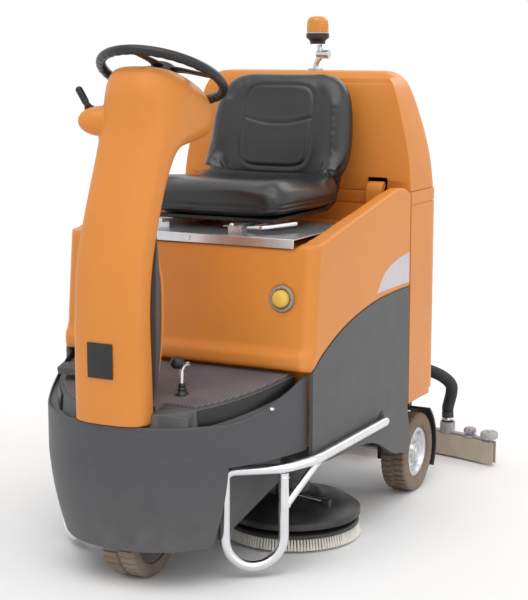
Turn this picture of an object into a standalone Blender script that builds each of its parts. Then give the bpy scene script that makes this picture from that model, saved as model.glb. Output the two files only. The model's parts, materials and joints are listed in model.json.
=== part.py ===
"""Ride-on floor scrubber: twin-brush deck, front drive wheel, rear squeegee.

Metres, +Z up. The nose points to -Y and the driver's left is +X.
The origin is on the floor under the middle of the machine.
"""
import math

import bmesh
import bpy
from mathutils import Matrix, Vector

# ---------------------------------------------------------------- driving sizes
GAP = 0.0003                # clearance between pieces that touch
BODY_HALF = 0.400           # half width of the bodywork
NOSE_Y = -0.875             # foremost point of the nose tub
SEAM_Y = -0.468             # where the nose tub meets the side panels
REAR_Y = 0.490              # back of the recovery tank
ORIGIN_SHIFT = 0.0178       # the laid-out machine moves back this far
SHELL = 0.006               # wall of the nose tub
MOULD = 0.012               # wall of the rotomoulded tanks

RIM_Z = 0.452               # rim of the nose tub at the front
RIM_RISE = 0.075            # how much the rim climbs to the seam
TUB_BOTTOM_Z = 0.112
MAT_Z = 0.492               # top of the footwell mat at its front edge

TANK_FRONT_Y = -0.455       # front face of the solution tank, top
TANK_TOP_Z = 0.888          # top of the tank at its front
SPLIT_Y = 0.215             # joint between the solution and the recovery tank
LID_Z = 0.990               # seam under the recovery tank's lid
LID_TOP_Z = 1.335

DRIVE_Y = -0.710
DRIVE_R = 0.1225
DRIVE_W = 0.100
REAR_WHEEL_Y = 0.368
REAR_WHEEL_R = 0.126
REAR_WHEEL_W = 0.082
REAR_WHEEL_X = 0.335

BRUSH_R = 0.203
BRUSH_X = 0.209
BRUSH_Y = -0.205
BRUSH_CLEAR = 0.008         # bristle tips above the floor as the deck hangs
GUIDE_X = 0.100             # posts that the brush deck slides on
GUIDE_Y = 0.000
GUIDE_R = 0.010
GUIDE_LOW = 0.200           # lower end of the frame's guide sleeves

FRAME_Z = 0.300             # underside of the chassis frame
FRAME_H = 0.036

WHEEL_RING_R = 0.166        # steering wheel, centre of its rim
WHEEL_RING_T = 0.0135
WHEEL_Y = -0.572
WHEEL_Z = 1.337
WHEEL_TILT = math.radians(25.0)

SQUEEGEE_HALF = 0.500
SQUEEGEE_Y = 0.838          # rubber blades at the middle of the bow
SQUEEGEE_BOW = 0.36         # how far the bow runs forward, per metre squared
BLADE_CLEAR = 0.006
HOSE_R = 0.021

HOOP_TUBE_R = 0.014
HOOP_TURN = math.radians(39.0)
HOOP_X = 0.294
HOOP_Y = -0.605
HOOP_HALF = 0.080

# ---------------------------------------------------------------- scene set-up
for leftover in list(bpy.data.objects):
    bpy.data.objects.remove(leftover, do_unlink=True)

MACHINE = bpy.data.collections.new("floor_scrubber")
CUTTERS = bpy.data.collections.new("cutters")
bpy.context.scene.collection.children.link(MACHINE)
bpy.context.scene.collection.children.link(CUTTERS)


def material(name, colour, roughness, metallic=0.0):
    """A plain Principled material in one colour."""
    made = bpy.data.materials.new(name)
    made.use_nodes = True
    shader = made.node_tree.nodes["Principled BSDF"]
    shader.inputs["Base Color"].default_value = (*colour, 1.0)
    shader.inputs["Roughness"].default_value = roughness
    shader.inputs["Metallic"].default_value = metallic
    return made


ORANGE = material("orange_polyethylene", (0.69, 0.25, 0.045), 0.45)
TUB_GREY = material("dark_grey_polyethylene", (0.098, 0.095, 0.102), 0.5)
PANEL_GREY = material("grey_panel", (0.14, 0.14, 0.138), 0.5)
BLACK = material("black_plastic", (0.012, 0.012, 0.014), 0.45)
RUBBER_MAT = material("ribbed_mat", (0.14, 0.115, 0.13), 0.8)
STEEL = material("zinc_plated_steel", (0.58, 0.60, 0.63), 0.3, 1.0)
PAINTED = material("painted_frame", (0.03, 0.03, 0.032), 0.5)
TYRE = material("tan_tyre", (0.16, 0.09, 0.047), 0.75)
BRISTLE = material("nylon_bristle", (0.71, 0.68, 0.61), 0.9)
LILAC = material("cast_squeegee", (0.40, 0.37, 0.39), 0.45, 0.4)
BLADE = material("gum_blade", (0.58, 0.51, 0.40), 0.6)
VINYL = material("black_vinyl", (0.010, 0.010, 0.012), 0.38)
YELLOW = material("yellow_knob", (0.75, 0.51, 0.10), 0.4)
RING_GREY = material("knob_bezel", (0.30, 0.26, 0.22), 0.5)
AMBER = material("amber_lens", (0.90, 0.30, 0.02), 0.2)
HOSE = material("hose_black", (0.012, 0.012, 0.014), 0.6)
TAG = material("key_fob", (0.50, 0.32, 0.18), 0.5)


# ---------------------------------------------------------------- shared makers
def link(obj, surface=None, guide=False):
    """Put an object in the machine's collection, or in the cutters'."""
    (CUTTERS if guide else MACHINE).objects.link(obj)
    if guide:
        obj.hide_render = True
        obj.display_type = "WIRE"
    if surface:
        obj.data.materials.append(surface)
    return obj


def from_bmesh(name, made, surface=None, guide=False, smooth=True):
    """Turn a bmesh into a linked object."""
    bmesh.ops.recalc_face_normals(made, faces=made.faces)
    mesh = bpy.data.meshes.new(name)
    made.to_mesh(mesh)
    made.free()
    if smooth:
        mesh.shade_smooth()
        mesh.set_sharp_from_angle(angle=math.radians(35))
    return link(bpy.data.objects.new(name, mesh), surface, guide)


def block(name, centre, size, surface=None, bevel=0.0, guide=False):
    """A box with optional rounded edges."""
    made = bmesh.new()
    bmesh.ops.create_cube(made, size=1.0)
    bmesh.ops.scale(made, vec=Vector(size), verts=made.verts)
    obj = from_bmesh(name, made, surface, guide, smooth=False)
    obj.location = centre
    if bevel:
        round_edges(obj, bevel)
    return obj


def round_edges(obj, width, segments=2, angle=35):
    """A Bevel modifier on the sharp edges."""
    bevel = obj.modifiers.new("round", "BEVEL")
    bevel.width = width
    bevel.segments = segments
    bevel.limit_method = "ANGLE"
    bevel.angle_limit = math.radians(angle)
    return bevel


def rod(name, start, end, radius, surface=None, sides=16, guide=False):
    """A round bar between two points."""
    start = Vector(start)
    end = Vector(end)
    along = end - start
    made = bmesh.new()
    bmesh.ops.create_cone(
        made, cap_ends=True, segments=sides, radius1=radius, radius2=radius, depth=along.length)
    turn = along.to_track_quat("Z", "Y").to_matrix().to_4x4()
    bmesh.ops.transform(made, matrix=turn, verts=made.verts)
    obj = from_bmesh(name, made, surface, guide)
    obj.location = (start + end) / 2
    return obj


def turned(name, profile, centre, surface, axis="Z", steps=24, guide=False):
    """A profile of (radius, height) pairs, top to bottom, turned about an axis."""
    mesh = bpy.data.meshes.new(name)
    points = [(radius, 0.0, height) for radius, height in profile]
    mesh.from_pydata(points, [(i, i + 1) for i in range(len(points) - 1)], [])
    obj = link(bpy.data.objects.new(name, mesh), surface, guide)
    screw = obj.modifiers.new("turn", "SCREW")
    screw.steps = steps
    screw.render_steps = steps
    screw.use_merge_vertices = True
    screw.merge_threshold = 0.00005
    screw.use_smooth_shade = True
    turns = {"Z": (0, 0, 0), "X": (0, math.pi / 2, 0), "-X": (0, -math.pi / 2, 0), "-Z": (math.pi, 0, 0)}
    obj.rotation_euler = turns[axis]
    obj.location = centre
    return obj


def tube(name, points, radius, surface, guide=False):
    """A round tube along a polyline, as a mesh with welded caps."""
    curve = bpy.data.curves.new(name, "CURVE")
    curve.dimensions = "3D"
    curve.bevel_depth = radius
    curve.bevel_resolution = 3
    curve.use_fill_caps = True
    line = curve.splines.new("POLY")
    line.points.add(len(points) - 1)
    for spot, point in zip(line.points, points):
        spot.co = (*point, 1.0)
    obj = link(bpy.data.objects.new(name, curve), surface, guide)
    return obj


def as_mesh(obj, guide=False):
    """The same object as a welded mesh, which a Boolean can use."""
    bpy.context.view_layer.update()
    graph = bpy.context.evaluated_depsgraph_get()
    mesh = bpy.data.meshes.new_from_object(obj.evaluated_get(graph))
    welded = bmesh.new()
    welded.from_mesh(mesh)
    bmesh.ops.remove_doubles(welded, verts=welded.verts, dist=0.00002)
    bmesh.ops.recalc_face_normals(welded, faces=welded.faces)
    welded.to_mesh(mesh)
    welded.free()
    made = bpy.data.objects.new(obj.name + "_mesh", mesh)
    made.matrix_world = obj.matrix_world.copy()
    name = obj.name
    bpy.data.objects.remove(obj, do_unlink=True)
    made.name = name
    return link(made, None, guide)


def plate(name, outlines, thickness, surface=None, guide=False):
    """A flat plate in XY, from an outline and any holes in it."""
    curve = bpy.data.curves.new(name, "CURVE")
    curve.dimensions = "2D"
    curve.fill_mode = "BOTH"
    curve.extrude = thickness / 2
    for outline in outlines:
        line = curve.splines.new("POLY")
        line.points.add(len(outline) - 1)
        for spot, (x, y) in zip(line.points, outline):
            spot.co = (x, y, 0.0, 1.0)
        line.use_cyclic_u = True
    obj = link(bpy.data.objects.new(name, curve), surface, guide)
    return obj


def side_plate(name, outline, x, thickness, surface=None, guide=False):
    """A plate that stands along the machine, from (y, z) points, centred on x."""
    obj = plate(name, [outline], thickness, surface, guide)
    obj.matrix_world = Matrix(((0, 0, 1, x), (1, 0, 0, 0), (0, 1, 0, 0), (0, 0, 0, 1)))
    return as_mesh(obj, guide)


def loft(name, rings, surface=None, guide=False):
    """A closed skin over rings with equal numbers of points."""
    made = bmesh.new()
    loops = [[made.verts.new(point) for point in ring] for ring in rings]
    count = len(rings[0])
    for lower, upper in zip(loops, loops[1:]):
        for i in range(count):
            j = (i + 1) % count
            made.faces.new((lower[i], lower[j], upper[j], upper[i]))
    made.faces.new(loops[0][::-1])
    made.faces.new(loops[-1])
    return from_bmesh(name, made, surface, guide)


def boolean(obj, other, mode="DIFFERENCE"):
    """Cut or join one object with another that becomes a guide."""
    made = obj.modifiers.new(mode.lower(), "BOOLEAN")
    made.operation = mode
    made.object = other
    made.solver = "EXACT"
    return obj


def arc(centre, radius, start, end, steps):
    """Points on a circle from one angle to another, in degrees."""
    cx, cy = centre
    turns = [math.radians(start + (end - start) * i / steps) for i in range(steps + 1)]
    return [(cx + radius * math.cos(a), cy + radius * math.sin(a)) for a in turns]


def superellipse(half_x, half_y, power, count, start=0.0):
    """Points round a rounded rectangle or oval."""
    points = []
    for i in range(count):
        a = start + 2 * math.pi * i / count
        c = math.cos(a)
        s = math.sin(a)
        x = half_x * math.copysign(abs(c) ** (2 / power), c)
        y = half_y * math.copysign(abs(s) ** (2 / power), s)
        points.append((x, y))
    return points


def smooth_route(points, per_span):
    """A Catmull-Rom curve through hand-placed points."""
    spots = [Vector(p) for p in points]
    spots = [2 * spots[0] - spots[1]] + spots + [2 * spots[-1] - spots[-2]]
    route = []
    for a, b, c, d in zip(spots, spots[1:], spots[2:], spots[3:]):
        for i in range(per_span):
            t = i / per_span
            route.append(0.5 * (2 * b + (c - a) * t + (2 * a - 5 * b + 4 * c - d) * t * t
                                + (3 * b - a - 3 * c + d) * t ** 3))
    route.append(spots[-2])
    return route


def round_corners(points, radius, steps=3):
    """A polyline in space with its corners bent to arcs."""
    spots = [Vector(p) for p in points]
    bent = [spots[0]]
    for before, corner, after in zip(spots, spots[1:], spots[2:]):
        back = (before - corner).normalized()
        ahead = (after - corner).normalized()
        reach = min(radius, (before - corner).length / 2, (after - corner).length / 2)
        first = corner + back * reach
        last = corner + ahead * reach
        for i in range(steps + 1):
            t = i / steps
            bent.append(first * (1 - t) ** 2 + corner * 2 * t * (1 - t) + last * t ** 2)
    bent.append(spots[-1])
    return bent


PIVOTS = {}


def pivot(name, spot, parent=None):
    """An empty on a joint's axis, which its moving pieces hang from."""
    made = bpy.data.objects.new(name, None)
    made.empty_display_size = 0.05
    MACHINE.objects.link(made)
    spot = Vector(spot)
    PIVOTS[name] = spot
    made.location = spot
    if parent:
        made.parent = bpy.data.objects[parent]
        made.location = spot - PIVOTS[parent]
    return made


def hang(pivot_name, *pieces):
    """Parent pieces to a pivot and leave them where they are."""
    for piece in pieces:
        piece.parent = bpy.data.objects[pivot_name]
        piece.location = Vector(piece.location) - PIVOTS[pivot_name]


SIDES = (("left", 1.0), ("right", -1.0))


# ---------------------------------------------------------------- nose tub and footwell
TUB_MID_Y = -0.235
TUB_POWER = 2.3
RECESS_TOP = 0.336          # roof of the recess that takes the guard hoop
RECESS_X = 0.215
RECESS_Y = -0.728
# (height, how far the sides draw in, how far the front draws in)
TUB_DRAFT = ((0.330, 0.000, 0.000), (0.260, 0.010, 0.003), (0.190, 0.028, 0.009),
             (TUB_BOTTOM_Z, 0.058, 0.020))


def nose_outline(inset_x, inset_y, back_y, count):
    """Plan outline of the nose, left seam round the front to the right seam."""
    depth = TUB_MID_Y - NOSE_Y - inset_y
    last = math.asin(min(1.0, ((TUB_MID_Y - back_y) / depth) ** (TUB_POWER / 2)))
    points = []
    for i in range(count + 1):
        a = last + (math.pi - 2 * last) * i / count
        c = math.cos(a)
        x = (BODY_HALF - inset_x) * math.copysign(abs(c) ** (2 / TUB_POWER), c)
        y = TUB_MID_Y - depth * math.sin(a) ** (2 / TUB_POWER)
        points.append((x, y))
    return points


def rim_height(y):
    """Height of the nose tub's rim: level at the front, climbing to the seam."""
    start = NOSE_Y + 0.15
    share = max(0.0, (y - start) / (SEAM_Y - start))
    return RIM_Z + RIM_RISE * share ** 1.4


def nose_body(name, wall, back_y, surface, guide):
    """The nose as a solid, drawn in by a wall thickness."""
    columns = 36
    outline = nose_outline(wall, wall, back_y, columns)
    lift = 0.08 if wall else 0.0
    rings = [[(x, y, rim_height(y) + lift) for x, y in outline]]
    for z, side, front in TUB_DRAFT:
        low = z - 0.05 if wall and z == TUB_BOTTOM_Z else z
        rings.append([(x, y, low) for x, y in nose_outline(side + wall, front + wall, back_y, columns)])
    obj = loft(name, rings, surface, guide)
    for side, sign in SIDES:
        boolean(obj, guard_recess("%s_recess_%s" % (name, side), sign, wall))
    return obj


def guard_recess(name, sign, wall):
    """Space behind the nose's flank for the guard hoop."""
    outline = ((RECESS_X - wall, RECESS_Y - wall), (0.6, RECESS_Y - wall), (0.6, -0.30),
               (0.36 - wall, -0.30),
               (0.300 - wall, SEAM_Y - 0.007), (RECESS_X - wall, -0.650))
    outline = [(x * sign, y) for x, y in outline]
    obj = plate(name, [outline], RECESS_TOP + wall + 0.1, None, True)
    obj.location.z = (RECESS_TOP + wall - 0.1) / 2
    return as_mesh(obj, True)


def nose_tub():
    """The dark moulded shell round the front wheel, open above, below and behind."""
    obj = nose_body("nose_tub", 0.0, SEAM_Y - GAP, TUB_GREY, False)
    boolean(obj, nose_body("tub_inside", SHELL, SEAM_Y + 0.05, None, True))
    slope = side_plate("tub_slope",
                       ((-0.655, -0.02), (-0.640, TUB_BOTTOM_Z), (-0.462, 0.245), (-0.30, 0.30),
                        (-0.30, -0.02)),
                       0.0, 1.0, None, True)
    boolean(obj, slope)
    return obj


LEDGE_INSET = SHELL + 0.0006
LEDGE_LOW = 0.060               # depth of the footwell moulding under the rim
DECK_BACK_Y = SEAM_Y - 0.004
LEDGE_SLOPE = (RIM_RISE + 0.015) / (SEAM_Y - NOSE_Y)
STEP_INSET = 0.032              # the raised step stands in from the rim
STEP_Z = MAT_Z - 0.022
STEP_SLOPE = 0.17


def on_ramp(points, height, slope):
    """Lift plan points onto a ramp that climbs from the nose."""
    return [(x, y, height + slope * (y - NOSE_Y)) for x, y in points]


def footwell_deck():
    """The moulded floor of the footwell: a ledge inside the rim and a raised step."""
    outline = nose_outline(LEDGE_INSET, LEDGE_INSET, DECK_BACK_Y, 32)
    step = nose_outline(STEP_INSET, STEP_INSET, DECK_BACK_Y - 0.004, 32)
    top = nose_outline(STEP_INSET + 0.004, STEP_INSET + 0.004, DECK_BACK_Y - 0.005, 32)
    ledge = RIM_Z - 0.035
    obj = loft("footwell_deck", [
        on_ramp(outline, RIM_Z - LEDGE_LOW, LEDGE_SLOPE), on_ramp(outline, ledge, LEDGE_SLOPE),
        on_ramp(step, ledge, LEDGE_SLOPE), on_ramp(top, STEP_Z, STEP_SLOPE)], PANEL_GREY)
    boolean(obj, column_slot("deck_slot", 0.0006))
    pad = block("pedal_block", (0.151, -0.785, RIM_Z - 0.004), (0.078, 0.048, 0.060), None, 0.004, True)
    boolean(obj, as_mesh(pad, True), "UNION")
    for name, x, y in LEVER_FEET:
        boolean(obj, rod("%s_seat" % name, (x, y, 0.36), (x, y, 0.7), LEVER_R + 0.0006, None, 16, True))
    return obj


def column_slot(name, grow):
    """Space for the foot of the steering column."""
    y0, z0, tilt, deep, wide = COLUMN_RINGS[0]
    ring = [(x, y + y0) for x, y in superellipse(wide + grow, deep + grow, 2.7, 28)]
    return loft(name, [[(x, y, z0 - GAP) for x, y in ring], [(x, y, z0 + 0.12) for x, y in ring]], None,
                True)


def footwell_mat():
    """Ribbed rubber mat on the raised step."""
    inset = STEP_INSET + 0.014
    outline = nose_outline(inset, inset, DECK_BACK_Y - 0.006, 28)
    obj = loft("footwell_mat", [on_ramp(outline, STEP_Z + GAP, STEP_SLOPE),
                                on_ramp(outline, STEP_Z + 0.007, STEP_SLOPE)], RUBBER_MAT)
    boolean(obj, column_slot("mat_slot", 0.004))
    boolean(obj, block("mat_corner", (0.151, -0.785, STEP_Z), (0.088, 0.058, 0.12), None, 0.0, True))
    for name, x, y in LEVER_FEET:
        boolean(obj, rod("%s_mat_hole" % name, (x, y, 0.36), (x, y, 0.7), 0.014, None, 12, True))
    return obj


# ---------------------------------------------------------------- steering column
# (centre y, height, tilt, half depth, half width) of each section, foot to head
COLUMN_RINGS = (
    (-0.828, RIM_Z + 0.0008, 0.0, 0.057, 0.108),
    (-0.831, 0.600, 0.0, 0.057, 0.106),
    (-0.832, 0.740, 0.0, 0.055, 0.104),
    (-0.818, 0.860, 8.0, 0.053, 0.102),
    (-0.776, 0.980, 16.0, 0.051, 0.099),
    (-0.724, 1.090, 20.0, 0.050, 0.097),
    (-0.680, 1.165, 21.0, 0.058, 0.097),
    (-0.633, 1.205, 22.0, 0.092, 0.099),
    (-0.590, 1.240, 21.0, 0.126, 0.102),
    (-0.566, 1.285, 19.0, 0.120, 0.102),
    (-0.560, 1.318, 18.0, 0.098, 0.090),
    (-0.556, 1.333, 18.0, 0.060, 0.060),
)


COLUMN_FRONT_Y = -0.8882        # foremost line of the column, where the badge plate sits


def column_section(ring, shrink=0.0, count=28):
    """One oval section of the column, tilted back."""
    y0, z0, tilt, deep, wide = ring
    lean = math.radians(tilt)
    points = []
    for x, v in superellipse(wide - shrink, deep - shrink, 2.7, count):
        points.append((x, y0 + v * math.cos(lean), z0 - v * math.sin(lean)))
    return points


def column_cover():
    """Orange moulded column with its head; hollow up the middle."""
    obj = loft("column_cover", [column_section(ring) for ring in COLUMN_RINGS], ORANGE)
    hollow = [column_section(ring, 0.006, 20) for ring in COLUMN_RINGS[:9]]
    hollow[0] = [(x, y, z - 0.02) for x, y, z in hollow[0]]
    boolean(obj, loft("column_hollow", hollow, None, True))
    ear = loft("column_ear", ear_rings(0.0), None, True)
    boolean(obj, ear, "UNION")
    bore = rod("shaft_bore", along_shaft(-0.16), along_shaft(0.06), SHAFT_R + 0.0006, None, 16, True)
    boolean(obj, bore)
    key_hole = rod("key_bore", KEY_SPOT + KEY_AXIS * -0.03, KEY_SPOT + KEY_AXIS * 0.03, KEY_R + 0.0007, None,
                   12, True)
    boolean(obj, key_hole)
    lever_hole = turned("lever_bore",
                        ((0.0, 0.045), (LEVER_SHANK + 0.0048, 0.045), (LEVER_SHANK + 0.0007, -0.0243),
                                       (0.0, -0.0243)), LEVER_SPOT, None, "Z", 14, True)
    lever_hole.rotation_euler = LEVER_AXIS.to_track_quat("Z", "Y").to_euler()
    boolean(obj, lever_hole)
    return obj


EAR_CENTRE = Vector((-0.128, -0.700, 1.222))
KEY_R = 0.009
KEY_AXIS = Vector((-0.35, 0.90, 0.25)).normalized()
KEY_SPOT = EAR_CENTRE + KEY_AXIS * 0.036
LEVER_SHANK = 0.0048
LEVER_DEPTH = 0.018            # the grip tilts about this point down its socket
LEVER_AXIS = Vector((-0.62, 0.20, 0.76)).normalized()
LEVER_SPOT = EAR_CENTRE + LEVER_AXIS * 0.044


def ear_rings(shrink):
    """The bump on the column's right that holds the key and the drive lever."""
    rings = []
    for share, radius in ((-1.0, 0.020), (-0.7, 0.034), (0.0, 0.040), (0.7, 0.034), (1.0, 0.020)):
        spot = EAR_CENTRE + Vector((0.050 * -share, -0.004 * share, 0.0))
        rings.append([(spot.x, spot.y + (radius - shrink) * math.cos(a),
                       spot.z + (radius - shrink) * math.sin(a))
                      for a in [2 * math.pi * i / 16 for i in range(16)]])
    return rings


def rear_cover():
    """Dark service cover on the driver's side of the column."""
    rows = ((0.50, 0.045), (0.60, 0.060), (0.72, 0.064), (0.83, 0.055), (0.92, 0.030))
    rings = []
    for z, half in rows:
        y = column_back(z) + 0.0035
        rings.append([(half, y - 0.003 + GAP, z), (half * 0.7, y + 0.010, z), (0.0, y + 0.014, z),
                      (-half * 0.7, y + 0.010, z), (-half, y - 0.003 + GAP, z)])
    obj = loft("column_rear_cover", rings, PANEL_GREY)
    boolean(obj, loft("rear_cover_seat", [column_section(ring, -GAP) for ring in COLUMN_RINGS[:6]], None,
                      True))
    return obj


def column_back(z):
    """Rearmost line of the column at a height."""
    spots = [(ring[1] - ring[3] * math.sin(math.radians(ring[2])),
              ring[0] + ring[3] * math.cos(math.radians(ring[2])))
             for ring in COLUMN_RINGS[:7]]
    for (z0, y0), (z1, y1) in zip(spots, spots[1:]):
        if z0 <= z <= z1:
            return y0 + (y1 - y0) * (z - z0) / (z1 - z0)
    return spots[0][1]


def badge_plate():
    """Square black plate let on to the front of the column, left bare."""
    return block("badge_plate", (-0.002, COLUMN_FRONT_Y - GAP - 0.0015, 0.623), (0.076, 0.0030, 0.092),
                 BLACK, 0.0012)


# ---------------------------------------------------------------- steering wheel
SHAFT_R = 0.012
SHAFT_AXIS = Vector((0.0, math.sin(WHEEL_TILT), math.cos(WHEEL_TILT)))


def along_shaft(distance):
    """A point on the steering axis, measured up from the wheel's centre."""
    return Vector((0.0, WHEEL_Y, WHEEL_Z)) + SHAFT_AXIS * distance


def steering_wheel():
    """Rim, hub and three dished spokes."""
    rim = bmesh.new()
    turns = 40
    around = 8
    rows = []
    for i in range(turns):
        a = 2 * math.pi * i / turns
        row = []
        for j in range(around):
            b = 2 * math.pi * j / around
            reach = WHEEL_RING_R + WHEEL_RING_T * math.cos(b)
            row.append(rim.verts.new((reach * math.cos(a), reach * math.sin(a), WHEEL_RING_T * math.sin(b))))
        rows.append(row)
    for i in range(turns):
        for j in range(around):
            rim.faces.new((rows[i][j], rows[(i + 1) % turns][j], rows[(i + 1) % turns][(j + 1) % around],
                           rows[i][(j + 1) % around]))
    obj = from_bmesh("steering_wheel", rim, BLACK)
    hub = turned("wheel_hub", ((0.0, 0.030), (0.030, 0.030), (0.036, 0.022), (0.036, 0.008), (0.0, 0.008)),
                 (0, 0, 0), None, "Z", 20, True)
    boolean(obj, as_mesh(hub, True), "UNION")
    for a in (0, 180, 270):
        turn = Matrix.Rotation(math.radians(a), 4, "Z")
        spoke = loft("wheel_spoke_%d" % a, [
            [turn @ Vector((x, y, z + dz)) for y, dz in ((-w, -0.003), (w, -0.003), (w, 0.003), (-w, 0.003))]
            for x, z, w in ((0.020, 0.019, 0.018), (0.070, 0.015, 0.014), (0.120, 0.006, 0.012),
                            (WHEEL_RING_R - 0.004, 0.000, 0.011))], None, True)
        boolean(obj, spoke, "UNION")
    obj.rotation_euler = (-WHEEL_TILT, 0, 0)
    obj.location = along_shaft(0.0)
    for child in ("wheel_hub", "wheel_spoke_0", "wheel_spoke_180", "wheel_spoke_270"):
        guide = bpy.data.objects[child]
        guide.matrix_world = obj.matrix_basis.copy()
    return obj


def steering_shaft():
    """Upper steering shaft, from the wheel's hub down into the column."""
    return rod("steering_shaft", along_shaft(-0.115), along_shaft(0.008 - GAP), SHAFT_R, STEEL, 16)


# ---------------------------------------------------------------- levers and pedals
LEVER_FEET = (("brake_lever", 0.122, -0.690),)
LEVER_R = 0.0065


def brake_lever():
    """Chrome push-pull rod with a black knob beside the column, for the parking brake."""
    name, x, y = LEVER_FEET[0]
    foot = (x, y, 0.440)
    obj = as_mesh(tube("brake_lever", round_corners(
        (foot, (x, y, 0.560), (x + 0.006, y + 0.004, 0.588), (x + 0.020, y + 0.006, 0.590)), 0.012), LEVER_R,
        STEEL))
    knob = turned("brake_knob",
                  ((0.0, 0.034), (0.013, 0.032), (0.019, 0.022), (0.019, 0.014), (0.012, 0.004),
                   (0.0, 0.002)),
                  (x - 0.012, y - 0.002, 0.574), None, "Z", 14, True)
    boolean(obj, as_mesh(knob, True), "UNION")
    pivot("brake_pivot", (x, y, 0.470))
    hang("brake_pivot", obj)
    return obj


PEDAL_X = -0.236
PEDAL_Y = -0.642


def accelerator_pedal():
    """Grey treadle on the driver's right of the column."""
    toe = PEDAL_Y - 0.055
    heel = PEDAL_Y + 0.055
    hinge = heel - 0.020
    low = pedal_floor(toe)
    high = pedal_floor(heel) + GAP
    profile = [(toe, low + 0.018), (hinge, pedal_floor(hinge) + GAP), (heel, high), (heel, high + 0.014),
               (PEDAL_Y + 0.010, high + 0.020), (PEDAL_Y - 0.030, low + 0.046), (toe - 0.004, low + 0.036)]
    obj = side_plate("accelerator_pedal", profile, PEDAL_X, 0.066, PANEL_GREY)
    round_edges(obj, 0.002)
    pivot("pedal_pivot", (PEDAL_X, hinge, pedal_floor(hinge) + GAP))
    hang("pedal_pivot", obj)
    return obj


def pedal_floor(y):
    """Height of the mat's top at a distance from the nose."""
    return STEP_Z + 0.007 + STEP_SLOPE * (y - NOSE_Y)


def drive_lever():
    """Black stalk grip on the column's ear."""
    grip = turned("drive_lever",
                  ((0.0, 0.068), (0.007, 0.066), (0.0095, 0.060), (0.0095, 0.018), (0.008, 0.012),
                                  (LEVER_SHANK, 0.012), (LEVER_SHANK, -0.022), (0.0, -0.022)), (0, 0, 0),
                                  BLACK, "Z", 14)
    grip.rotation_euler = LEVER_AXIS.to_track_quat("Z", "Y").to_euler()
    grip.location = LEVER_SPOT
    pivot("lever_pivot", LEVER_SPOT - LEVER_AXIS * LEVER_DEPTH)
    hang("lever_pivot", grip)
    return grip


def ignition_key():
    """Key in the ear's lock, with its bow and split ring."""
    key = rod("ignition_key", KEY_SPOT - KEY_AXIS * 0.020, KEY_SPOT + KEY_AXIS * 0.018, KEY_R, BLACK, 12)
    bow = block("key_bow", KEY_SPOT + KEY_AXIS * 0.028, (0.004, 0.026, 0.022), None, 0.0, True)
    bow.rotation_euler = KEY_AXIS.to_track_quat("Y", "Z").to_euler()
    boolean(key, bow, "UNION")
    pivot("key_pivot", KEY_SPOT)
    hang("key_pivot", key)
    return key


FOB_TOP = KEY_SPOT + KEY_AXIS * 0.030 + Vector((0.0, 0.0, -0.0112))


def key_fob():
    """Split ring and tag that hang from the key's bow."""
    ring = [FOB_TOP + Vector((0.0, 0.010 * math.sin(a), -0.012 + 0.010 * math.cos(a)))
            for a in [math.radians(14 + 332 * i / 18) for i in range(19)]]
    obj = as_mesh(tube("key_fob", ring, 0.0012, TAG))
    tag = block("fob_tag", FOB_TOP + Vector((0.0, 0.0, -0.048)), (0.003, 0.022, 0.052), None, 0.0, True)
    boolean(obj, tag, "UNION")
    pivot("fob_pivot", FOB_TOP, "key_pivot")
    hang("fob_pivot", obj)
    return obj


# ---------------------------------------------------------------- side panels and tanks
PANEL_T = 0.012
PANEL_INNER = BODY_HALF - PANEL_T


def panel_outline(grow=0.0):
    """Side panel as (y, z) points: sweeping top edge, wheel arch behind."""
    top = [(-0.468, 0.548), (-0.400, 0.588), (-0.300, 0.628), (-0.200, 0.655), (-0.100, 0.673),
           (0.000, 0.684),
           (0.110, 0.688), (SPLIT_Y - 0.006, 0.688)]
    arch = arc((REAR_WHEEL_Y, REAR_WHEEL_R), 0.150, 150, 168, 3)
    low = [(SPLIT_Y - 0.006, 0.30)] + arch + [(0.165, 0.176), (0.110, 0.186), (0.050, 0.214),
                                              (-0.010, 0.244),
                                             (-0.080, 0.264), (-0.170, 0.273), (-0.300, 0.279),
                                             (-0.412, 0.288), (-0.468, 0.322)]
    points = top + low
    if grow:
        points = [(y, z + grow) for y, z in top] + [(SPLIT_Y + 0.02, 0.69 + grow), (SPLIT_Y + 0.02, 0.10),
                                                    (-0.60, 0.10),
                                                    (-0.60, 0.548 + grow)]
    return points


def side_panel(side, sign):
    """Grey skirt panel on one side."""
    obj = side_plate("side_panel_%s" % side, panel_outline(), sign * (PANEL_INNER + PANEL_T / 2), PANEL_T,
                     PANEL_GREY)
    hole = rod("rail_hole_%s" % side, (sign * 0.37, GUARD_END_Y, GUARD_RAIL_Z),
               (sign * 0.42, GUARD_END_Y, GUARD_RAIL_Z),
               HOOP_TUBE_R + 0.012, None, 20, True)
    boolean(obj, hole)
    return obj


TANK_BASE_Z = FRAME_Z + FRAME_H + GAP
RAIL_IN = 0.343             # inside of the raised side rails
DECK_Z = 0.880              # seat deck between the rails
FACE_Y = -0.484             # the tank's leaning front face starts here
FACE_Z = 0.612
BAY_FRONT_Y = -0.436        # battery bay under the hood
BAY_REAR_Y = 0.200


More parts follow.
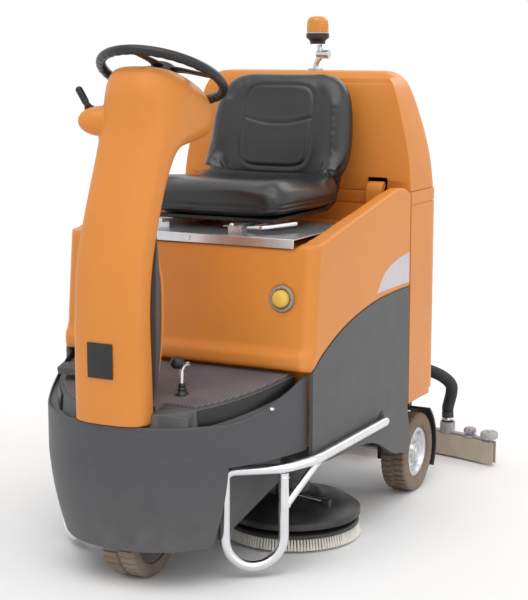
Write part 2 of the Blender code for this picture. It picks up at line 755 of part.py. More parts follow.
def solution_tank():
    """Orange clean-water tank: a hood over the battery with raised side rails."""
    profile = [(-0.470, TANK_BASE_Z), (-0.470, 0.552), (-0.490, 0.552), (-0.500, 0.562), (-0.500, 0.590),
               (-0.492, 0.600), (FACE_Y, FACE_Z), (TANK_FRONT_Y, TANK_TOP_Z), (-0.410, TANK_TOP_Z + 0.004),
               (0.060, 0.985), (0.120, 0.996), (0.170, 0.992), (SPLIT_Y - GAP, 0.975),
               (SPLIT_Y - GAP, TANK_BASE_Z)]
    obj = side_plate("solution_tank", profile, 0.0, 2 * BODY_HALF, ORANGE)
    well = loft("seat_well", [
        [(sx * half, y, z) for sx, y in ((-1, -0.60), (1, -0.60), (1, 0.60), (-1, 0.60))]
        for half, z in ((RAIL_IN, DECK_Z), (RAIL_IN + 0.024, DECK_Z + 0.16))], None, True)
    boolean(obj, well)
    boolean(obj, block("tank_front_clear", (0, -0.508, 0.40), (1.0, 0.12, 0.300), None, 0.0, True))
    bay = block("battery_bay", (0, (BAY_FRONT_Y + BAY_REAR_Y) / 2, 0.29),
                (2 * (PANEL_INNER - 0.014), BAY_REAR_Y - BAY_FRONT_Y, 1.06), None, 0.0, True)
    boolean(obj, bay)
    for side, sign in SIDES:
        cutter = side_plate("panel_seat_%s" % side, panel_outline(0.0012), sign * (PANEL_INNER - GAP + 0.1),
                            0.2, None, True)
        boolean(obj, cutter)
    knob_seat = rod("knob_seat", knob_point(-KNOB_RECESS), knob_point(0.05), KNOB_RING_R + 0.0008, None, 28,
                    True)
    boolean(obj, knob_seat)
    round_edges(obj, 0.010, 2, 50)
    return obj


KNOB_X = 0.306
KNOB_Z = 0.745
KNOB_RING_R = 0.036
KNOB_RECESS = 0.012             # depth of the bezel's seat in the tank
FRONT_LEAN = math.atan2(TANK_FRONT_Y - FACE_Y, TANK_TOP_Z - FACE_Z)
KNOB_AXIS = Vector((0.0, -math.cos(FRONT_LEAN), math.sin(FRONT_LEAN)))


def knob_point(out):
    """A point on the release knob's axis, measured out from the tank's face."""
    y = FACE_Y + (KNOB_Z - FACE_Z) * math.tan(FRONT_LEAN)
    return Vector((KNOB_X, y, KNOB_Z)) + KNOB_AXIS * out


def release_knob():
    """Yellow knob in its grey bezel on the tank's face."""
    bezel = turned("knob_bezel", ((0.027, 0.004), (KNOB_RING_R, 0.002), (KNOB_RING_R, -KNOB_RECESS + 0.0005),
                                  (0.008, -KNOB_RECESS + 0.0005), (0.008, -0.006), (0.027, -0.006),
                                  (0.027, 0.004)),
                   knob_point(0.0), RING_GREY, "Z", 28)
    bezel.rotation_euler = KNOB_AXIS.to_track_quat("Z", "Y").to_euler()
    knob = turned("release_knob",
                  ((0.0, 0.022), (0.018, 0.020), (0.0235, 0.014), (0.0245, 0.002), (0.0245, -0.0055),
                                   (0.0, -0.0055)), knob_point(0.0), YELLOW, "Z", 24)
    knob.rotation_euler = KNOB_AXIS.to_track_quat("Z", "Y").to_euler()
    pivot("knob_pivot", knob_point(0.0))
    hang("knob_pivot", knob)


TANK_OUTLINE_REAR = 0.110       # corner radius of the recovery tank's back


def rear_outline(half, front_y, back_y, corner, sides=6):
    """Plan outline with square front corners and round rear corners."""
    right = arc((half - corner, back_y - corner), corner, 0, 90, sides)
    left = arc((-half + corner, back_y - corner), corner, 90, 180, sides)
    return [(half, front_y)] + right + left + [(-half, front_y)]


def recovery_tank():
    """Orange dirty-water tank behind the seat, with its corner posts."""
    front = SPLIT_Y + GAP
    outline = rear_outline(BODY_HALF, front, REAR_Y, TANK_OUTLINE_REAR)
    obj = loft("recovery_tank", [[(x, y, z) for x, y in outline] for z in (0.318, 0.975)], ORANGE)
    inner = rear_outline(BODY_HALF - MOULD, front + MOULD, REAR_Y - MOULD, TANK_OUTLINE_REAR - MOULD)
    boolean(obj, loft("tank_inside", [[(x, y, z) for x, y in inner] for z in (0.520, 1.10)], None, True))
    frame_top = FRAME_Z + FRAME_H + GAP
    boolean(obj, block("wheel_space", (0, 0.50, frame_top - 0.2), (2 * 0.362, 0.80, 0.4), None, 0.0, True))
    boolean(obj, block("turbine_space", (0, 0.50, 0.25), (0.44, 0.80, 0.42), None, 0.0, True))
    boolean(obj, block("post_rear", (0, 0.885, frame_top - 0.2), (1.0, 1.0, 0.4), None, 0.0, True))
    round_edges(obj, 0.006, 2, 50)
    return obj


def lid_ring(half, front_y, back_y, corner, z):
    """One level of the lid."""
    return [(x, y, z) for x, y in rear_outline(half, front_y, back_y, corner, 5)]


def recovery_lid():
    """Domed lid of the recovery tank, hollow underneath."""
    skin = ((0.396, SPLIT_Y + 0.002, 0.486, 0.108, LID_Z - 0.0147),
            (0.396, SPLIT_Y + 0.002, 0.486, 0.108, LID_Z),
            (0.388, 0.221, 0.480, 0.104, 1.060), (0.372, 0.226, 0.470, 0.100, 1.140),
            (0.350, 0.232, 0.455, 0.095, 1.220),
            (0.326, 0.239, 0.436, 0.090, 1.285), (0.298, 0.252, 0.410, 0.075, 1.322),
            (0.270, 0.266, 0.388, 0.055, LID_TOP_Z))
    obj = loft("recovery_lid", [lid_ring(*row) for row in skin], ORANGE)
    wall = 0.008
    hollow = [lid_ring(h - wall, f + wall, b - wall, c - wall, z) for h, f, b, c, z in skin[:-2]]
    hollow[0] = [(x, y, z - 0.05) for x, y, z in hollow[0]]
    boolean(obj, loft("lid_hollow", hollow, None, True))
    for side, sign in SIDES:
        notch = block("latch_notch_%s" % side, (sign * LATCH_X, SPLIT_Y, LID_Z + 0.004),
                      (0.066, 0.030, 0.044), None, 0.0, True)
        boolean(obj, notch)
    pivot("lid_pivot", (0, LID_HINGE_Y, LID_Z - 0.008))
    hang("lid_pivot", obj)
    return obj


LATCH_X = 0.285
LID_HINGE_Y = 0.492


def lid_latch(side, sign):
    """Rounded orange latch that holds the lid's front edge down."""
    profile = [(0.186, 0.936), (0.200, 0.930), (0.2145, 0.936), (0.2145, 0.972), (0.226, 0.992),
               (0.222, 1.004),
               (0.206, 1.004), (0.192, 0.994), (0.184, 0.975)]
    obj = side_plate("lid_latch_%s" % side, profile, sign * LATCH_X, 0.052, ORANGE)
    round_edges(obj, 0.003)
    pivot("latch_pivot_%s" % side, (sign * LATCH_X, 0.200, 0.942))
    hang("latch_pivot_%s" % side, obj)
    return obj


def beacon():
    """Warning beacon on a jointed bracket on the lid."""
    x = 0.035
    y = 0.300
    foot = turned("beacon_bracket", ((0.0, 0.006), (0.024, 0.006), (0.024, 0.0), (0.0, 0.0)),
                  (x, y, LID_TOP_Z + GAP), STEEL, "Z", 16)
    obj = as_mesh(foot)
    arm = as_mesh(tube("beacon_arm", round_corners(
        ((x, y, LID_TOP_Z + 0.002), (x, y, LID_TOP_Z + 0.022), (x + 0.022, y, LID_TOP_Z + 0.050),
         (x + 0.012, y, LID_TOP_Z + 0.078)), 0.010, 2), 0.0085, None, True), True)
    boolean(obj, arm, "UNION")
    boolean(obj, rod("beacon_clamp", (x + 0.006, y, LID_TOP_Z + 0.050), (x + 0.046, y, LID_TOP_Z + 0.050),
                     0.013, None, 14, True), "UNION")
    base_z = LID_TOP_Z + 0.0815
    base = turned("beacon_base",
                  ((0.0, 0.034), (0.036, 0.034), (0.036, 0.018), (0.024, 0.010), (0.024, 0.0), (0.0, 0.0)),
                  (x + 0.006, y, base_z + GAP), BLACK, "Z", 24)
    lens = turned("beacon_lens",
                  ((0.0, 0.052), (0.022, 0.050), (0.031, 0.042), (0.034, 0.028), (0.034, 0.0), (0.0, 0.0)),
                  (x + 0.006, y, base_z + 0.034 + 2 * GAP), AMBER, "Z", 24)
    hang("lid_pivot", obj)
    pivot("beacon_pivot", (x + 0.006, y, base_z), "lid_pivot")
    hang("beacon_pivot", base, lens)


# ---------------------------------------------------------------- seat
SEAT_HALF = 0.238
PAN_HALF = SEAT_HALF - 0.045
PAN_T = 0.012                   # thickness of the moulded seat pan
PAN_REAR_Y = 0.050              # where the pan starts to rise to the backrest
BAR_R = 0.0055                  # the seat's adjusting bar


def seat_plate():
    """Bright folded plate on the seat deck; its front edge is the light strip."""
    top = RUNNER_Z - 0.0015
    wide = 2 * (RAIL_IN - 0.006)
    obj = block("seat_plate", (0, -0.271, top), (wide, 0.382, 0.003), STEEL)
    low = DECK_Z + GAP
    for label, y in (("front", -0.4605), ("back", -0.0815)):
        lip = block("seat_plate_%s" % label, (0, y, (low + top) / 2), (wide, 0.003, top - low), None, 0.0,
                    True)
        boolean(obj, lip, "UNION")
    for side, sign in SIDES:
        runner = block("seat_runner_%s" % side, (sign * RUNNER_X, -0.235, RUNNER_Z + RUNNER_H / 2 - 0.001),
                       (0.040, 0.300, RUNNER_H + 0.002), None, 0.0, True)
        boolean(obj, runner, "UNION")
    return obj


RUNNER_X = 0.115
RUNNER_Z = DECK_Z + GAP + 0.025
RUNNER_H = 0.018


def seat():
    """Seat pan, cushion and backrest on the slide, with its adjusting bar."""
    pivot("seat_pivot", (0, -0.20, RUNNER_Z + RUNNER_H))
    pan_z = RUNNER_Z + RUNNER_H + GAP
    pan_top = pan_z + PAN_T
    outline = [(-0.300, pan_z), (0.060, pan_z), (0.120, pan_z + 0.020), (0.186, 1.080), (0.200, 1.250),
               (0.190, 1.250), (0.172, 1.090), (0.105, pan_top + 0.020), (PAN_REAR_Y, pan_top),
               (-0.300, pan_top)]
    pan = side_plate("seat_pan", outline, 0.0, 2 * PAN_HALF, BLACK)
    rings = []
    foot = pan_top + GAP
    for y, low, high, half in ((-0.330, 0.955, 1.000, 0.190), (-0.318, 0.942, 1.022, 0.214),
                               (-0.270, foot, 1.040, 0.232),
                               (-0.150, foot, 1.030, 0.238), (0.000, foot, 1.026, 0.238),
                               (0.060, foot, 1.030, 0.232)):
        mid = (low + high) / 2
        rings.append([(x, y, mid + z) for x, z in superellipse(half, (high - low) / 2, 3.4, 24)])
    cushion = loft("seat_cushion", rings, VINYL)
    boolean(cushion, seat_pan_clear("cushion_seat", foot))
    rings = []
    for z, front, back, half in ((1.020, 0.088, 0.120, 0.205), (1.050, 0.080, 0.150, 0.230),
                                 (1.110, 0.078, 0.172, 0.240),
                                 (1.200, 0.104, 0.184, 0.236), (1.270, 0.125, 0.194, 0.216),
                                 (1.312, 0.140, 0.204, 0.180),
                                 (1.330, 0.156, 0.200, 0.140)):
        mid = (front + back) / 2
        rings.append([(x, mid + y, z) for x, y in superellipse(half, (back - front) / 2, 3.0, 24)])
    back = loft("seat_backrest", rings, VINYL)
    behind = [(0.060, 0.90), (0.1045, pan_top + 0.020), (0.1715, 1.090), (0.1895, 1.2503), (0.30, 1.2503),
              (0.30, 0.90)]
    cut_pan = side_plate("backrest_seat", behind, 0.0, 2 * PAN_HALF + 0.001, None, True)
    boolean(back, cut_pan)
    bar_x = RUNNER_X + 0.030
    bar_z = pan_z - GAP - BAR_R
    bar = as_mesh(tube("seat_adjust_bar", round_corners(
        ((bar_x, -0.270, bar_z), (bar_x, -0.372, bar_z), (bar_x + 0.070, -0.400, bar_z + 0.006),
         (bar_x + 0.120, -0.300, bar_z + 0.010)), 0.02, 3), BAR_R, STEEL))
    pivot("bar_pivot", (bar_x, -0.270, bar_z), "seat_pivot")
    hang("bar_pivot", bar)
    hang("seat_pivot", pan, cushion, back)


def seat_pan_clear(name, top):
    """Space for the seat pan under the cushion."""
    outline = [(-0.3006, 0.80), (0.30, 0.80), (0.30, 1.10), (0.105, top + 0.0200), (PAN_REAR_Y - GAP, top),
               (-0.3006, top)]
    return side_plate(name, outline, 0.0, 2 * PAN_HALF + 0.001, None, True)


# ---------------------------------------------------------------- chassis
def rectangle(x0, y0, x1, y1):
    """Corner points of a rectangle in plan."""
    return [(x0, y0), (x1, y0), (x1, y1), (x0, y1)]


TURNTABLE_R = 0.078
FRAME_HALF = 0.295
FRAME_REAR = 0.470
POST_X = 0.160              # posts under the footwell
AXLE_LEG_X = 0.262


def chassis_frame():
    """Welded ladder frame with the steering head plate at the front."""
    half = FRAME_HALF
    mid_z = FRAME_Z + FRAME_H / 2
    outline = [(-0.13, -0.800), (0.13, -0.800), (0.19, -0.600), (half, -0.450), (half, FRAME_REAR),
               (-half, FRAME_REAR),
               (-half, -0.450), (-0.19, -0.600)]
    obj = plate("chassis_frame", [outline], FRAME_H, PAINTED)
    obj.location.z = mid_z
    obj = as_mesh(obj)
    bay_half = half - 0.035
    boolean(obj, rod("turntable_bore", (0, DRIVE_Y, 0.2), (0, DRIVE_Y, 0.4), TURNTABLE_R, None, 24, True))
    for label, y0, y1 in (("front", -0.405, -0.020), ("rear", 0.020, 0.165)):
        bay = block("%s_bay" % label, (0, (y0 + y1) / 2, mid_z), (2 * bay_half, y1 - y0, 0.2), None, 0.0,
                    True)
        boolean(obj, bay)
    for label, y, wide in (("front", -0.430, 0.030), ("rear", 0.193, 0.038)):
        arm = block("%s_outrigger" % label, (0, y, mid_z - 0.0005), (0.760, wide, FRAME_H + 0.001), None,
                    0.0, True)
        boolean(obj, arm, "UNION")
    for side, sign in SIDES:
        for label, y in (("front", -0.62), ("rear", -0.50)):
            x = sign * POST_X
            top = RIM_Z - LEDGE_LOW + LEDGE_SLOPE * (y - 0.012 - NOSE_Y) - GAP
            post = rod("post_%s_%s" % (side, label), (x, y, FRAME_Z + 0.01), (x, y, top), 0.012, None, 12,
                       True)
            boolean(obj, post, "UNION")
        axle_leg = block("axle_leg_%s" % side,
                         (sign * AXLE_LEG_X, REAR_WHEEL_Y, (FRAME_Z + REAR_WHEEL_R) / 2),
                         (0.030, 0.070, FRAME_Z - REAR_WHEEL_R + 0.06), None, 0.0, True)
        boolean(obj, axle_leg, "UNION")
        sleeve = rod("guide_sleeve_%s" % side, (sign * GUIDE_X, GUIDE_Y, GUIDE_LOW),
                     (sign * GUIDE_X, GUIDE_Y, FRAME_Z + 0.01),
                     GUIDE_R + 0.008, None, 16, True)
        boolean(obj, sleeve, "UNION")
        guide_bore = rod("guide_bore_%s" % side, (sign * GUIDE_X, GUIDE_Y, GUIDE_LOW - 0.02),
                         (sign * GUIDE_X, GUIDE_Y, FRAME_Z + 0.004),
                         GUIDE_R + 0.0005, None, 16, True)
        boolean(obj, guide_bore)
        cheek = block("squeegee_cheek_%s" % side, (sign * 0.068, SQ_PIVOT_Y - 0.010, 0.279),
                      (0.014, 0.070, 0.080), None, 0.0, True)
        boolean(obj, cheek, "UNION")
    pin = rod("squeegee_pin", (-0.079, SQ_PIVOT_Y, SQ_PIVOT_Z), (0.079, SQ_PIVOT_Y, SQ_PIVOT_Z), 0.010, None,
              16, True)
    boolean(obj, pin, "UNION")
    bore = rod("axle_bore", (-0.5, REAR_WHEEL_Y, REAR_WHEEL_R), (0.5, REAR_WHEEL_Y, REAR_WHEEL_R),
               AXLE_R + GAP, None, 16, True)
    boolean(obj, bore)
    return obj


AXLE_R = 0.012


def rear_axle():
    """Steel axle through both rear wheels."""
    reach = REAR_WHEEL_X + REAR_WHEEL_W / 2 - 0.010
    return rod("rear_axle", (-reach, REAR_WHEEL_Y, REAR_WHEEL_R), (reach, REAR_WHEEL_Y, REAR_WHEEL_R),
               AXLE_R, STEEL, 16)


def battery_pack():
    """Traction battery in the bay on the chassis rails."""
    return block("battery_pack", (0, -0.12, FRAME_Z + FRAME_H + GAP + 0.135), (0.540, 0.540, 0.270), BLACK,
                 0.006)


def suction_motor():
    """Vacuum turbine under the recovery tank."""
    return turned("suction_motor",
                  ((0.0, 0.100), (0.055, 0.100), (0.065, 0.092), (0.085, 0.060), (0.085, 0.0), (0.0, 0.0)),
                  (-0.10, 0.350, FRAME_Z + FRAME_H + GAP), STEEL, "Z", 24)


def mudguard(side, sign):
    """Black flap behind a rear wheel."""
    inner = arc((REAR_WHEEL_Y, REAR_WHEEL_R), 0.150, 52, -30, 8)
    outer = arc((REAR_WHEEL_Y, REAR_WHEEL_R), 0.158, -30, 52, 8)
    obj = side_plate("mudguard_%s" % side, inner + outer, sign * (REAR_WHEEL_X + 0.003), 0.076, BLACK)
    ear = block("mudguard_ear_%s" % side, (sign * (FRAME_HALF + GAP + 0.0055), REAR_WHEEL_Y + 0.0955, 0.285),
                (0.011, 0.026, 0.098), None, 0.0, True)
    boolean(obj, ear, "UNION")
    return obj


# ---------------------------------------------------------------- wheels
def tyre_profile(radius, inner, half, grooves):
    """Outer tread with its grooves, closed round the bore."""
    points = [(radius - 0.010, half), (radius, half - 0.006)]
    for z in grooves:
        points += [(radius, z + 0.005), (radius - 0.010, z + 0.003), (radius - 0.010, z - 0.003),
                   (radius, z - 0.005)]
    points += [(radius, -half + 0.006), (radius - 0.010, -half)]
    points += [(inner, -half + 0.004), (inner, half - 0.004), (radius - 0.010, half)]
    return points


def road_wheel(side, sign):
    """Rear wheel: ribbed tyre on a zinc hub, free on the axle."""
    centre = (sign * REAR_WHEEL_X, REAR_WHEEL_Y, REAR_WHEEL_R)
    half = REAR_WHEEL_W / 2
    axis = "X" if sign > 0 else "-X"
    tyre = turned("rear_tyre_%s" % side, tyre_profile(REAR_WHEEL_R, 0.080, half, ()), centre, TYRE, axis, 32)
    hub = turned("rear_hub_%s" % side, (
        (0.022, half - 0.006), (0.030, half - 0.006), (0.034, half - 0.020), (0.060, half - 0.022),
        (0.066, half - 0.006),
        (0.080 - GAP, half - 0.006), (0.080 - GAP, -half + 0.006), (AXLE_R + GAP, -half + 0.006),
        (AXLE_R + GAP, half - 0.009),
        (0.022, half - 0.009), (0.022, half - 0.006)), centre, STEEL, axis, 32)
    pivot("rear_wheel_pivot_%s" % side, centre)
    hang("rear_wheel_pivot_%s" % side, tyre, hub)


FORK_IN = DRIVE_W / 2 + 0.006
FORK_T = 0.012


def drive_unit():
    """Steered yoke, upright traction motor and the driven wheel."""
    pivot("steer_pivot", (0, DRIVE_Y, FRAME_Z - 0.02))
    crown_z = 2 * DRIVE_R + 0.012
    obj = block("steering_yoke", (0, DRIVE_Y, crown_z + 0.010), (2 * (FORK_IN + FORK_T), 0.150, 0.020),
                PAINTED)
    for sign in (-1, 1):
        leg = block("yoke_leg_%d" % sign,
                    (sign * (FORK_IN + FORK_T / 2), DRIVE_Y, (crown_z + DRIVE_R - 0.03) / 2 + 0.008),
                    (FORK_T, 0.060, crown_z - DRIVE_R + 0.042), None, 0.0, True)
        boolean(obj, leg, "UNION")
    ring = turned("yoke_ring",
                  ((0.030, FRAME_Z - GAP - crown_z - 0.010), (0.096, FRAME_Z - GAP - crown_z - 0.010),
                   (0.096, -0.002),
                                (0.030, -0.002), (0.030, FRAME_Z - GAP - crown_z - 0.010)),
                                (0, DRIVE_Y, crown_z + 0.010), None, "Z", 32, True)
    boolean(obj, as_mesh(ring, True), "UNION")
    axle_hole = rod("drive_axle_bore", (-0.2, DRIVE_Y, DRIVE_R), (0.2, DRIVE_Y, DRIVE_R), 0.012 + GAP, None,
                    16, True)
    boolean(obj, axle_hole)
    motor = turned("traction_motor",
                   ((0.0, 0.104), (0.050, 0.102), (0.056, 0.094), (0.056, 0.0), (0.0, 0.0)),
                   (0, DRIVE_Y, FRAME_Z + GAP), PAINTED, "Z", 24)
    wheel_half = DRIVE_W / 2
    tyre = turned("drive_tyre", tyre_profile(DRIVE_R, 0.086, wheel_half, (0.0,)), (0, DRIVE_Y, DRIVE_R),
                  TYRE, "X", 32)
    hub = turned("drive_hub", ((0.0, wheel_half + 0.018), (0.012, wheel_half + 0.018),
                               (0.012, wheel_half + 0.002), (0.040, wheel_half + 0.002),
                               (0.060, wheel_half - 0.012), (0.086 - GAP, wheel_half - 0.006),
                               (0.086 - GAP, -wheel_half + 0.006),
                               (0.060, -wheel_half + 0.012), (0.040, -wheel_half - 0.002),
                               (0.012, -wheel_half - 0.002),
                               (0.012, -wheel_half - 0.018), (0.0, -wheel_half - 0.018)),
                               (0, DRIVE_Y, DRIVE_R), PAINTED, "X", 32)
    hang("steer_pivot", obj, motor)
    pivot("drive_pivot", (0, DRIVE_Y, DRIVE_R), "steer_pivot")
    hang("drive_pivot", tyre, hub)


# ---------------------------------------------------------------- brush deck
COVER_Z = 0.066             # underside of the brush housings
COVER_TOP = 0.132
HUB_SEAT = COVER_TOP - 0.008    # roof of the pocket over each brush's hub


def brush_deck():
    """Twin round housings on one moulded deck, with motors and lift links."""
    pivot("deck_pivot", (0, BRUSH_Y, COVER_TOP))
    skirt = BRUSH_R - 0.004
    profile = ((0.0, COVER_TOP), (0.080, COVER_TOP), (0.100, COVER_TOP - 0.012),
               (skirt - 0.060, COVER_TOP - 0.018),
               (skirt - 0.004, COVER_Z + 0.020), (skirt, COVER_Z + 0.016), (skirt, COVER_Z),
               (skirt - 0.006, COVER_Z),
               (skirt - 0.010, COVER_Z + 0.012), (skirt - 0.064, COVER_TOP - 0.026),
               (0.020, COVER_TOP - 0.026),
               (0.020, HUB_SEAT), (0.0, HUB_SEAT))
    deck = as_mesh(turned("brush_deck", profile, (BRUSH_X, BRUSH_Y, 0), BLACK, "Z", 32))
    other = as_mesh(turned("deck_right", profile, (-BRUSH_X, BRUSH_Y, 0), None, "Z", 32, True), True)
    boolean(deck, other, "UNION")
    back = GUIDE_Y + 0.025
    front = BRUSH_Y - 0.070
    bridge = block("deck_bridge", (0, (front + back) / 2, COVER_TOP - 0.008), (0.30, back - front, 0.016),
                   None, 0.0, True)
    boolean(deck, bridge, "UNION")
    hang("deck_pivot", deck)
    for side, sign in SIDES:
        motor = turned("brush_motor_%s" % side,
                       ((0.0, 0.118), (0.044, 0.116), (0.050, 0.108), (0.050, 0.0), (0.0, 0.0)),
                       (sign * BRUSH_X, BRUSH_Y, COVER_TOP + GAP), PAINTED, "Z", 20)
        hang("deck_pivot", motor)
        brush(side, sign)
    for side, sign in SIDES:
        post = rod("deck_post_%s" % side, (sign * GUIDE_X, GUIDE_Y, COVER_TOP - 0.006),
                   (sign * GUIDE_X, GUIDE_Y, GUIDE_LOW + 0.050),
                   GUIDE_R, None, 16, True)
        boolean(deck, post, "UNION")


def brush(side, sign):
    """Driven disc with its ring of bristles."""
    disc_z = COVER_Z - 0.026
    disc = turned("brush_disc_%s" % side,
                  ((0.0, HUB_SEAT - GAP), (0.0194, HUB_SEAT - GAP), (0.0194, disc_z + 0.016),
                   (BRUSH_R - 0.012, disc_z + 0.012),
                                           (BRUSH_R - 0.008, disc_z + 0.008), (BRUSH_R - 0.008, disc_z),
                                           (0.0, disc_z)),
                  (sign * BRUSH_X, BRUSH_Y, 0), BLACK, "Z", 36)
    low = BRUSH_CLEAR
    bristles = turned("brush_bristles_%s" % side,
                      ((0.090, disc_z - GAP), (BRUSH_R - 0.008, disc_z - GAP), (BRUSH_R, low), (0.085, low),
                                                   (0.090, disc_z - GAP)), (sign * BRUSH_X, BRUSH_Y, 0),
                                                   BRISTLE, "Z", 36)
    pivot("brush_pivot_%s" % side, (sign * BRUSH_X, BRUSH_Y, COVER_Z), "deck_pivot")
    hang("brush_pivot_%s" % side, disc, bristles)


# ---------------------------------------------------------------- guard rails
GUARD_RAIL_Z = 0.316
GUARD_END_Y = 0.006
HOOP_LOW = 0.034            # axis of the hoop at its lowest


def guard_rail(side, sign):
    """Bent tube: a rail along the flank and a hoop in front of the brush."""
    across = Vector((math.cos(HOOP_TURN), math.sin(HOOP_TURN), 0.0))
    middle = Vector((HOOP_X, HOOP_Y, 0.0))
    inner = middle - across * HOOP_HALF
    outer = middle + across * HOOP_HALF
    low = HOOP_LOW
    rail_z = GUARD_RAIL_Z - 0.014
    outside = BODY_HALF + HOOP_TUBE_R + 0.004
    rail = [(0.2954 + GAP, GUARD_END_Y, GUARD_RAIL_Z), (outside, GUARD_END_Y, GUARD_RAIL_Z),
            (outside, -0.478, GUARD_RAIL_Z),
            (outer.x + 0.004, outer.y, rail_z), (inner.x, inner.y, rail_z),
            (inner.x, inner.y, rail_z - 0.05)]
    flip = Matrix.Diagonal((sign, 1.0, 1.0))
    obj = as_mesh(tube("guard_rail_%s" % side, [flip @ p for p in round_corners(rail, 0.024, 4)],
                       HOOP_TUBE_R, STEEL))
    hoop = [inner + Vector((0, 0, rail_z - 0.045))]
    reach = HOOP_HALF
    for i in range(11):
        a = math.pi + math.pi * i / 10
        hoop.append(middle + across * reach * math.cos(a) + Vector((0, 0,
                                                                    low + reach + reach * math.sin(a))))
    hoop.append(outer + Vector((0, 0, rail_z)))
    hoop_tube = as_mesh(tube("hoop_%s" % side, [flip @ p for p in hoop], HOOP_TUBE_R - 0.0002, None, True),
                        True)
    boolean(obj, hoop_tube, "UNION")
    brace = as_mesh(tube("brace_%s" % side,
                         [flip @ Vector(p) for p in ((outer.x, outer.y, 0.190),
                                                     (outside - 0.002, outer.y + 0.095,
                                                      GUARD_RAIL_Z - 0.004))],
                         0.0105, None, True), True)
    boolean(obj, brace, "UNION")
    return obj


# ---------------------------------------------------------------- squeegee
SQ_PIVOT_Y = 0.500
SQ_PIVOT_Z = 0.250
SQ_BEAM_Z = 0.070
SWING_Y = 0.700             # pin that the squeegee swings on
SWING_R = 0.009
CLAMP_X = 0.400
ROLLER_Z = 0.100


def bow_y(x, offset=0.0):
    """The bow of the squeegee in plan."""
    return SQUEEGEE_Y - SQUEEGEE_BOW * x * x + offset


def bowed_bar(name, half, near, far, low, high, surface, guide=False, count=16):
    """A bar that follows the squeegee's bow."""
    outline = []
    for i in range(count + 1):
        x = half * (2 * i / count - 1)
        outline.append((x, bow_y(x, near)))
    for i in range(count + 1):
        x = half * (1 - 2 * i / count)
        outline.append((x, bow_y(x, far)))
    return loft(name, [[(x, y, z) for x, y in outline] for z in (low, high)], surface, guide)


def squeegee():
    """Suction squeegee: cast beam, two blades, end rollers and its arm."""
    pivot("squeegee_lift_pivot", (0, SQ_PIVOT_Y, SQ_PIVOT_Z))
    pivot("squeegee_swing_pivot", (0, SWING_Y, SQ_BEAM_Z + 0.07), "squeegee_lift_pivot")
    arm = as_mesh(tube("squeegee_arm",
                       round_corners(((0, SQ_PIVOT_Y, SQ_PIVOT_Z), (0, 0.600, SQ_PIVOT_Z - 0.02),
                                                       (0, 0.640, 0.150), (0, 0.760, 0.148)), 0.03, 3),
                                                       0.017, PAINTED))
    sleeve = rod("arm_sleeve", (-0.060, SQ_PIVOT_Y, SQ_PIVOT_Z), (0.060, SQ_PIVOT_Y, SQ_PIVOT_Z), 0.022,
                 None, 18, True)
    boolean(arm, sleeve, "UNION")
    boolean(arm, rod("arm_bore", (-0.2, SQ_PIVOT_Y, SQ_PIVOT_Z), (0.2, SQ_PIVOT_Y, SQ_PIVOT_Z), 0.010 + GAP,
                     None, 16, True))
    boolean(arm, rod("swing_bore", (0, SWING_Y, 0.05), (0, SWING_Y, 0.30), SWING_R + GAP, None, 16, True))
    hang("squeegee_lift_pivot", arm)
    beam = bowed_bar("squeegee_beam", SQUEEGEE_HALF - 0.012, -0.014, 0.012, 0.052, 0.090, LILAC)
    plate_top = block("beam_plate", (0, 0.745, 0.096), (0.240, 0.190, 0.012), None, 0.0, True)
    boolean(beam, plate_top, "UNION")
    boolean(beam, rod("swing_pin", (0, SWING_Y, 0.095), (0, SWING_Y, 0.200), SWING_R, None, 14, True),
            "UNION")
    port = rod("suction_port", (PORT_X, PORT_Y, 0.0835), (PORT_X, PORT_Y, PORT_TOP), 0.026, None, 20, True)
    boolean(beam, port, "UNION")
    for side, sign in SIDES:
        clamp = turned("clamp_boss_%s" % side,
                       ((0.0, 0.032), (0.020, 0.030), (0.024, 0.020), (0.024, 0.0), (0.0, 0.0)),
                       (sign * CLAMP_X, bow_y(CLAMP_X), 0.084), None, "Z", 14, True)
        boolean(beam, as_mesh(clamp, True), "UNION")
    front = bowed_bar("squeegee_front_blade", SQUEEGEE_HALF, -0.014 - GAP - 0.005, -0.014 - GAP, BLADE_CLEAR,
                      0.082, BLADE)
    rear = bowed_bar("squeegee_rear_blade", SQUEEGEE_HALF, 0.012 + GAP, 0.012 + GAP + 0.005, BLADE_CLEAR,
                     0.082, BLADE)
    hang("squeegee_swing_pivot", beam, front, rear)
    for side, sign in SIDES:
        x = SQUEEGEE_HALF - 0.022
        profile = ((0.0, 0.016), (0.024, 0.016), (0.030, 0.010), (0.030, -0.004), (0.024, -0.010),
                   (0.0, -0.010))
        roller = turned("squeegee_roller_%s" % side, profile, (sign * x, bow_y(x), ROLLER_Z + 0.0007), LILAC,
                        "Z", 20)
        pivot("roller_pivot_%s" % side, (sign * x, bow_y(x), ROLLER_Z), "squeegee_swing_pivot")
        hang("roller_pivot_%s" % side, roller)


PORT_X = 0.310
PORT_Y = bow_y(0.310, -0.002)
PORT_TOP = 0.122


def suction_hose():
    """Ribbed suction hose from the recovery tank down to the squeegee's port."""
    start = Vector((0.266, REAR_Y + 2 * GAP, 0.372))
    end = Vector((PORT_X, PORT_Y, PORT_TOP + 2 * GAP))
    bends = (start + Vector((0, 0.016, 0)), (0.276, 0.535, 0.366), (0.304, 0.590, 0.348),
             (0.338, 0.655, 0.316),
             (0.350, 0.716, 0.276), (0.334, 0.768, 0.232), end + Vector((0, 0, 0.050)))
    route = [start] + smooth_route(bends, 5) + [end + Vector((0, 0, 0.020)), end]
    return tube("suction_hose", route, HOSE_R, HOSE)


